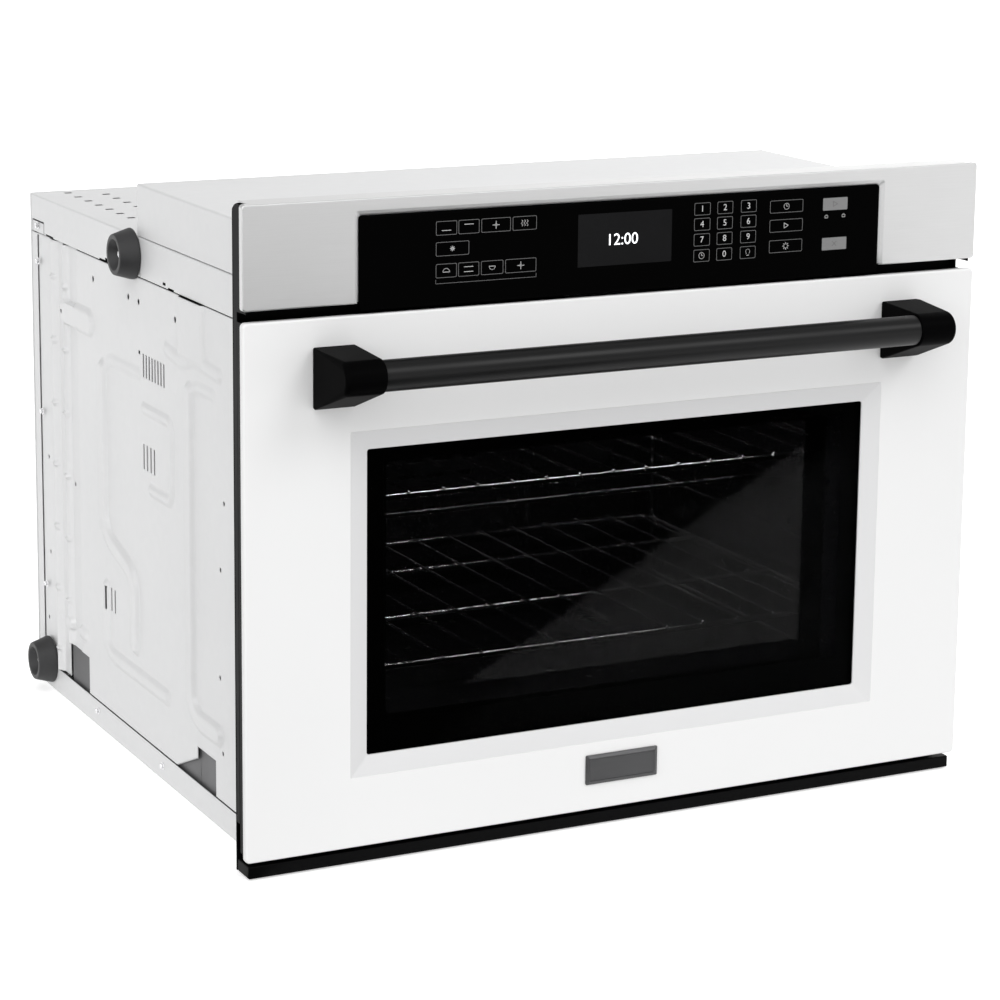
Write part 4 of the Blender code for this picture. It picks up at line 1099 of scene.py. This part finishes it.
# ---------------------------------------------------------------- door
def build_door_skin():
    """The enamelled sheet with its edges folded back, and the slope pressed around the glass."""
    low, high = corners("door_skin")
    half, bottom, top = 0.277, 0.083, 0.401
    slope = 0.0175
    deep = 0.005
    edge = 0.0020
    crease = 0.0005
    rings = [inset_ring(low, high, 0.0, high.y, 0.004)]
    for step in range(6):
        angle = math.radians(90 * step / 5)
        rings.append(inset_ring(low, high, edge * (1 - math.cos(angle)),
                                edge * (1 - math.sin(angle)), 0.004))

    def opening(inset, y, radius):
        return inset_ring(Vector((-half, 0, bottom)), Vector((half, 0, top)), inset, y, radius)

    rings.append(opening(-crease, 0.0, 0.0008))
    rings.append(opening(0.0, crease * deep / slope, 0.0007))
    skin = Form()
    skin.loft(rings)
    skin.piece("enamelled_door_skin", "white_enamel", "door_skin", "white_enamel", body="door",
               sharp=24, sheet=0.0016)
    bezel = Form()
    bezel.loft([opening(0.0, crease * deep / slope, 0.0007),
                opening(slope - crease, deep - 0.0001, 0.0022),
                opening(slope + 0.0003, deep + 0.0005, 0.0024),
                opening(slope + 0.0006, deep + 0.0016, 0.0024)])
    # The slope around the glass takes the darker enamel: painted shade.
    bezel.piece("window_bezel", "bezel_enamel_painted_shade", None, "white_enamel", body="door", sharp=24,
                sheet=0.0016)


def build_outer_glass():
    """The outer pane, and the black border fired on its back."""
    low, high = corners("outer_glass")
    pane = Form()
    pane.prism(rounded((low.x, high.x), (low.z, high.z), 0.004), (low.y, high.y), 0.0006)
    pane.piece("outer_pane", "tinted_glass", "outer_glass", "black_glass", body="door")
    border = Form()
    border.band(rounded((low.x + 0.0005, high.x - 0.0005), (low.z + 0.0005, high.z - 0.0005),
                        0.004),
                rounded((-0.2405, 0.2405), (0.131, 0.371), 0.004),
                (high.y + 0.00002, high.y + 0.0002))
    border.piece("pane_border", "black_glass", None, "black_glass", body="door")


def build_liner():
    """The inner sheet of the door, drawn with round corners into a plug with a window."""
    low, high = corners("door_liner")
    half, bottom, top = 0.277, 0.092, 0.443
    draft = 0.0105
    window_half, window_low, window_high = 0.222, 0.123, 0.360
    deep = high.y
    flat = low.y + 0.0015

    plug = (Vector((-half, 0, bottom)), Vector((half, 0, top)))
    window = (Vector((-window_half, 0, window_low)), Vector((window_half, 0, window_high)))
    drawn = (
        ((low, high), ((0.0, flat - 0.0040, 0.004), (0.0, flat - 0.0008, 0.004),
                       (0.0003, flat - 0.0002, 0.004), (0.0010, flat, 0.004))),
        (plug, ((-0.0035, flat, 0.021), (-0.0010, flat + 0.0007, 0.020),
                (0.0002, flat + 0.0028, 0.019), (draft - 0.0020, deep - 0.0035, 0.016),
                (draft, deep - 0.0010, 0.015), (draft + 0.0030, deep, 0.014))),
        (window, ((-0.010, deep, 0.010), (-0.0085, deep - 0.0004, 0.010),
                  (-0.0070, deep - 0.0012, 0.009), (-0.0010, deep - 0.0013, 0.006),
                  (0.0, deep - 0.0015, 0.005))))
    form = Form()
    form.loft([inset_ring(*box, *values) for box, levels in drawn for values in levels])
    form.piece("drawn_door_liner", "liner_enamel", "door_liner", "cavity_enamel", body="door",
               sharp=30, sheet=SHEET)
    screws = Form()
    for sign in (-1, 1):
        for z in (0.075, 0.267, 0.460):
            screws.screw((sign * 0.335, flat, z), (0, 1, 0), 0.0028)
    for x in (-0.21, 0.0, 0.21):
        screws.screw((x, flat, 0.062), (0, 1, 0), 0.0028)
    screws.piece("liner_screws", "zinc_steel", None, "zinc_steel", body="door")


def build_badge():
    """A blank bevelled plate."""
    low, high = corners("badge_plate")
    levels = ((0.0, high.y, 0.0012), (0.0, high.y - 0.0012, 0.0012),
              (0.0002, high.y - 0.0014, 0.0012), (0.0028, low.y + 0.0001, 0.0008),
              (0.0031, low.y, 0.0008), (0.0036, low.y, 0.0008),
              (0.0039, low.y + 0.0004, 0.0008), (0.0041, low.y + 0.0006, 0.0008))
    form = Form()
    form.loft([inset_ring(low, high, *level) for level in levels], start_cap=True,
              end_cap=True)
    form.piece("blank_badge", "badge_metal", "badge_plate", "badge_metal", body="door", sharp=20)


def build_handle():
    """The straight bar, and a bracket at each end."""
    low, high = corners("handle_bar")
    centre = (low + high) / 2
    radius = (high.z - low.z) / 2
    length = high.x - low.x
    bar = Form()
    bar.turned([(0, 0), (radius, 0), (radius, length), (0, length)],
               (low.x, centre.y, centre.z), (1, 0, 0), 72)
    bar.piece("round_handle_bar", "handle_black", "handle_bar", "black_steel", body="door")
    for side, sign in (("left", -1), ("right", 1)):
        build_handle_bracket("handle_bracket_" + side, sign, centre)


def build_handle_bracket(node, sign, centre):
    """A foot that narrows into the round nose at the end of the bar."""
    low, high = corners(node)
    foot_z = (0.425, 0.480)
    foot_x = sorted((abs(low.x), abs(high.x)))
    nose_x = (0.2735, foot_x[1] - 0.0015)
    nose = 0.016
    roll = 0.0045
    mesh = bmesh.new()
    for x in foot_x:
        for z in foot_z:
            mesh.verts.new((sign * x, high.y, z))
            mesh.verts.new((sign * x, -0.004, z))
    steps = 28
    rims = [(nose_x[0], nose)]
    for part in range(6):
        turn = math.radians(90 * part / 5)
        rims.append((nose_x[1] - roll + roll * math.sin(turn),
                     nose - roll + roll * math.cos(turn)))
    for x, size in rims:
        for step in range(steps + 1):
            angle = math.pi / 2 + math.pi * step / steps
            mesh.verts.new((sign * x, centre.y + size * math.cos(angle),
                            centre.z + size * math.sin(angle)))
    hull = bmesh.ops.convex_hull(mesh, input=mesh.verts)
    spare = {vert for vert in hull["geom_unused"] + hull["geom_interior"]
             if isinstance(vert, bmesh.types.BMVert)}
    bmesh.ops.delete(mesh, geom=list(spare), context="VERTS")
    bmesh.ops.dissolve_limit(mesh, angle_limit=math.radians(1.5), verts=mesh.verts,
                             edges=mesh.edges)
    edges = [edge for edge in mesh.edges
             if len(edge.link_faces) == 2 and edge.calc_face_angle() > math.radians(22)]
    bmesh.ops.bevel(mesh, geom=edges, offset=0.0020, segments=3, profile=0.5, affect="EDGES",
                    clamp_overlap=True)
    form = Form()
    form.add_mesh(mesh)
    # The bracket takes the darker black: painted shade.
    form.piece("cast_" + node, "bracket_black_painted_shade", node, "black_steel", body="door", sharp=40)


# ---------------------------------------------------------------- cavity
def build_gasket():
    """A closed fibre cord, pressed flat, around the cavity's mouth."""
    low, high = corners("door_gasket")
    seat = 0.005
    sides = 14
    path = [Vector(point) for point in
            ring((low.x + seat, high.x - seat), (low.z + seat, high.z - seat),
                 (low.y + high.y) / 2, 0.012, 6)]
    form = Form()
    half_deep = (high.y - low.y) / 2
    rings = []
    count = len(path)
    for index, here in enumerate(path):
        along = (path[(index + 1) % count] - path[index - 1]).normalized()
        across = along.cross(Vector((0, 1, 0)))
        loop = []
        for step in range(sides):
            angle = 2 * math.pi * step / sides
            loop.append(here + across * seat * 0.98 * math.cos(angle)
                        + Vector((0, 1, 0)) * half_deep * math.sin(angle))
        rings.append(loop)
    rings.append(rings[0])
    form.loft(rings)
    form.piece("woven_gasket", "gasket_fibre", "door_gasket", "gasket_fibre", sharp=60)


def build_racks():
    """Wire racks: a frame, cross bars, and long wires whose ends turn down over the front."""
    spacings = {"lower_rack": (0.0398, 13), "upper_rack": (0.0354, 16)}
    rod = 0.003
    for name, (pitch, wires) in spacings.items():
        low, high = corners(name)
        left, right = low.x + rod, high.x - rod
        front, back = low.y + rod, high.y - rod
        z = low.z + rod
        form = Form()
        form.tube(fillet([(left, front, z), (right, front, z), (right, back, z),
                          (left, back, z)], 0.016, 6, closed=True), rod, 14, closed=True)
        for y in (0.209, 0.364):
            form.tube([(left, y, z - 0.0008), (right, y, z - 0.0008)], 0.0024, 12)
        top = high.z + 0.0008
        for index in range(wires):
            x = (index - (wires - 1) / 2) * pitch
            form.tube(fillet([(x, low.y + 0.0002, z - 0.001), (x, low.y + 0.0004, top),
                              (x, high.y - 0.0004, top), (x, high.y - 0.0002, z - 0.001)],
                             0.004, 5), 0.0017, 10)
        rail = z - 0.0175
        if name == "upper_rack":
            form.tube(fillet([(left + 0.007, front + 0.001, z),
                              (left + 0.009, front + 0.001, rail),
                              (right - 0.009, front + 0.001, rail),
                              (right - 0.007, front + 0.001, z)], 0.008, 5), 0.0027, 12)
        form.piece("wire_" + name, "chrome_wire", name, "chrome_wire", body=name, sharp=50)


def build_rack_guides():
    """A ladder of rods on each side wall, rungs bent in to meet the posts."""
    tops = (0.105, 0.160, 0.215, 0.270, 0.320, 0.375)
    for side, sign in (("left", -1), ("right", 1)):
        node = "rack_guide_" + side
        low, high = corners(node)
        inner = min(abs(low.x), abs(high.x))
        outer = max(abs(low.x), abs(high.x))
        post = outer - 0.003
        rung = inner + 0.0025
        form = Form()
        for y in (0.073, 0.469):
            form.tube([(sign * post, y, low.z), (sign * post, y, high.z)], 0.0028, 12)
        for top in tops:
            z = top - 0.0025
            path = fillet([(sign * (post - 0.001), low.y + 0.003, z),
                           (sign * rung, low.y + 0.003, z),
                           (sign * rung, high.y - 0.003, z),
                           (sign * (post - 0.001), high.y - 0.003, z)], 0.004, 4)
            form.tube(path, 0.0025, 12)
        form.piece("rod_" + node, "chrome_wire", node, "chrome_wire", sharp=50)


def build_elements():
    """The broil element: one sheathed rod folded back and forth under the roof."""
    low, high = corners("broil_element")
    radius = (high.z - low.z) / 2
    z = (low.z + high.z) / 2
    runs = 8
    spacing = (high.x - low.x - 2 * radius) / (runs - 1)
    front = 0.100
    back = 0.435
    path = []
    for run in range(runs):
        x = low.x + radius + run * spacing
        forward = run % 2 == 0
        start, end = (back, front) if forward else (front, back)
        path += [(x, start, z), (x, end, z)]
        if run < runs - 1:
            bend = spacing / 2
            way = -1 if forward else 1
            for step in range(1, 12):
                angle = math.pi * step / 12
                path.append((x + bend - bend * math.cos(angle),
                             end + way * bend * math.sin(angle), z))
    form = Form()
    form.tube(path, radius, 14)
    form.piece("broil_tube", "heater_tube", "broil_element", "heater_tube", sharp=50)


def build_baffle():
    """The cover in front of the fan: a pressed panel with rows of slots."""
    low, high = corners("convection_baffle")
    centre_z = (low.z + high.z) / 2
    slots = []
    for row in range(9):
        z = centre_z - 0.072 + row * 0.018
        for index in range(5):
            x = -0.066 + index * 0.033 + (0.008 if row % 2 else 0.0)
            slots.append((x - 0.011, x + 0.011, z - 0.0022, z + 0.0022))
    reliefs = [pad((low.x + 0.016, high.x - 0.016), (low.z + 0.016, high.z - 0.016), 0.012,
                   0.0045, 0.008)]
    form = Form()
    pressed_sheet(form, (low.x + 0.001, high.x - 0.001), (low.z + 0.001, high.z - 0.001), 0.004,
                  reliefs, lambda u, v, h: (u, low.y + 0.0055 - h, v), slots)
    form.piece("pressed_baffle", "cavity_enamel", "convection_baffle", "cavity_enamel", sharp=50,
               sheet=SHEET, centred=True)
    rim = Form()
    outer = rounded((low.x, high.x), (low.z, high.z), 0.004)
    inner = rounded((low.x + SHEET, high.x - SHEET), (low.z + SHEET, high.z - SHEET), 0.003)
    rim.band(outer, inner, (low.y + 0.005, high.y))
    rim.piece("baffle_rim", "cavity_enamel", None, "cavity_enamel")


def build_lamp_and_probe():
    """The lamp's domed glass and the probe's sheath, turned about their own axes."""
    low, high = corners("oven_lamp")
    centre = (low + high) / 2
    form = Form()
    r = (high.x - low.x) / 2
    deep = high.y - low.y
    form.turned([(0, 0), (r * 0.45, 0.0006), (r * 0.62, 0.003), (r * 0.70, 0.008),
                 (r * 0.74, deep - 0.006)], (centre.x, low.y, centre.z), (0, 1, 0), 40)
    form.turned([(r * 0.74, deep - 0.0065), (r * 0.80, deep - 0.009), (r * 0.96, deep - 0.009),
                 (r, deep - 0.007), (r, deep), (0, deep)], (centre.x, low.y, centre.z),
                (0, 1, 0), 40)
    form.piece("lamp_cover", "lamp_glass", "oven_lamp", "clear_glass", sharp=40)
    low, high = corners("temperature_probe")
    centre = (low + high) / 2
    r = (high.x - low.x) / 2
    deep = high.y - low.y
    probe = Form()
    probe.turned([(0, 0), (r * 0.6, 0.0004), (r * 0.9, 0.002), (r, 0.004), (r, deep - 0.008),
                  (r, deep), (0, deep)], (centre.x, low.y, centre.z), (0, 1, 0), 24)
    probe.piece("probe_sheath", "chrome_wire", "temperature_probe", "chrome_wire")


# ---------------------------------------------------------------- floor, light and camera
def build_stage():
    """A pale floor that only the camera and shiny surfaces see, an even studio, three soft
    suns and a glow under the cavity's roof."""
    size = 60.0
    floor = stage_sheet("floor", [(-size, -size), (size, -size), (size, size), (-size, size)],
                        -0.0005, finish("floor_paper", (0.95, 0.95, 0.95), 0.9, specular=0.0,
                                        vary=0.004, broad=0.5, fine=40, bump=0.02,
                                        emission=0.45))
    floor.visible_diffuse = False

    # A dark card on the floor, seen only as the slanting reflection in the window.
    far, near = FACE + 0.345, FACE - 1.76
    card = stage_sheet("reflection_card",
                       [(1.30, FACE - 1.470), (-0.75, far), (-2.2, far), (-2.2, near),
                        (1.30, near)],
                       0.0005, finish("card_paper", (0.01, 0.01, 0.01), 0.9, specular=0.0,
                                      vary=0.1, bump=0.0))
    card.visible_camera = False
    card.visible_diffuse = False
    card.visible_shadow = False
    card.visible_transmission = False

    world = bpy.data.worlds.new("studio")
    world.use_nodes = True
    nodes = world.node_tree.nodes
    link = world.node_tree.links.new
    backdrop = nodes["Background"]
    coordinates = nodes.new("ShaderNodeTexCoord")
    split = nodes.new("ShaderNodeSeparateXYZ")
    ramp = nodes.new("ShaderNodeValToRGB")
    link(coordinates.outputs["Generated"], split.inputs["Vector"])
    link(split.outputs["Z"], ramp.inputs["Fac"])
    link(ramp.outputs["Color"], backdrop.inputs["Color"])
    ramp.color_ramp.elements[0].position = 0.02
    ramp.color_ramp.elements[0].color = (1.0, 1.0, 1.0, 1.0)
    ramp.color_ramp.elements[1].position = 0.30
    ramp.color_ramp.elements[1].color = (0.56, 0.56, 0.56, 1.0)
    below = ramp.color_ramp.elements.new(0.0)
    below.color = (0.72, 0.72, 0.72, 1.0)
    bpy.context.scene.world = world

    for name, towards, strength, spread in (
            ("key", (-0.60, -0.55, 0.58), 1.4, 70), ("fill", (0.60, 0.62, 0.50), 0.6, 40),
            ("shine", (0.44, -0.64, 0.63), 0.6, 25)):
        light = bpy.data.lights.new(name, "SUN")
        light.energy = strength
        light.angle = math.radians(spread)
        lamp = bpy.data.objects.new(name, light)
        lamp.rotation_euler = Vector(towards).to_track_quat("Z", "Y").to_euler()
        bpy.context.scene.collection.objects.link(lamp)

    glow = bpy.data.lights.new("cavity_glow", "AREA")
    glow.shape = "RECTANGLE"
    glow.size = 0.46
    glow.size_y = 0.03
    glow.energy = 0.9
    lamp = bpy.data.objects.new("cavity_glow", glow)
    lamp.location = (0, 0.075 + FACE, 0.450)
    lamp.rotation_euler = (math.radians(35), 0, 0)
    lamp.visible_camera = False
    bpy.context.scene.collection.objects.link(lamp)

    bpy.context.scene.view_settings.view_transform = "Standard"


def stage_sheet(name, outline, z, material):
    """A flat sheet of the studio, which is not part of the oven."""
    mesh = bpy.data.meshes.new(name)
    mesh.from_pydata([(x, y, z) for x, y in outline], [], [tuple(range(len(outline)))])
    mesh.materials.append(material)
    thing = bpy.data.objects.new(name, mesh)
    bpy.context.scene.collection.objects.link(thing)
    return thing


def build_camera():
    """A long lens from the front left, a little above the oven."""
    lens = bpy.data.cameras.new("camera")
    lens.sensor_width = 36.0
    lens.lens = 110.33
    lens.shift_y = -0.12
    camera = bpy.data.objects.new("camera", lens)
    place = Vector((-1.3405, -2.4056 + FACE, 0.9784))
    aim = Vector((0.44027, 0.8759, -0.1974))
    turn = aim.to_track_quat("-Z", "Y").to_matrix()
    roll = Matrix.Rotation(math.radians(0.593), 3, "Z")
    camera.matrix_world = Matrix.Translation(place) @ (turn @ roll).to_4x4()
    bpy.context.scene.collection.objects.link(camera)
    bpy.context.scene.camera = camera


dress_carried_over()
build_side_panels()
build_top_cover()
build_control_box()
build_base_pan()
build_rear_panel()
build_casing_screws()
build_bumpers()
build_trim()
build_front_frame()
build_fascia()
build_control_glass()
build_print()
build_door_skin()
build_outer_glass()
build_liner()
build_badge()
build_handle()
build_gasket()
build_racks()
build_rack_guides()
build_elements()
build_baffle()
build_lamp_and_probe()
build_stage()
build_camera()
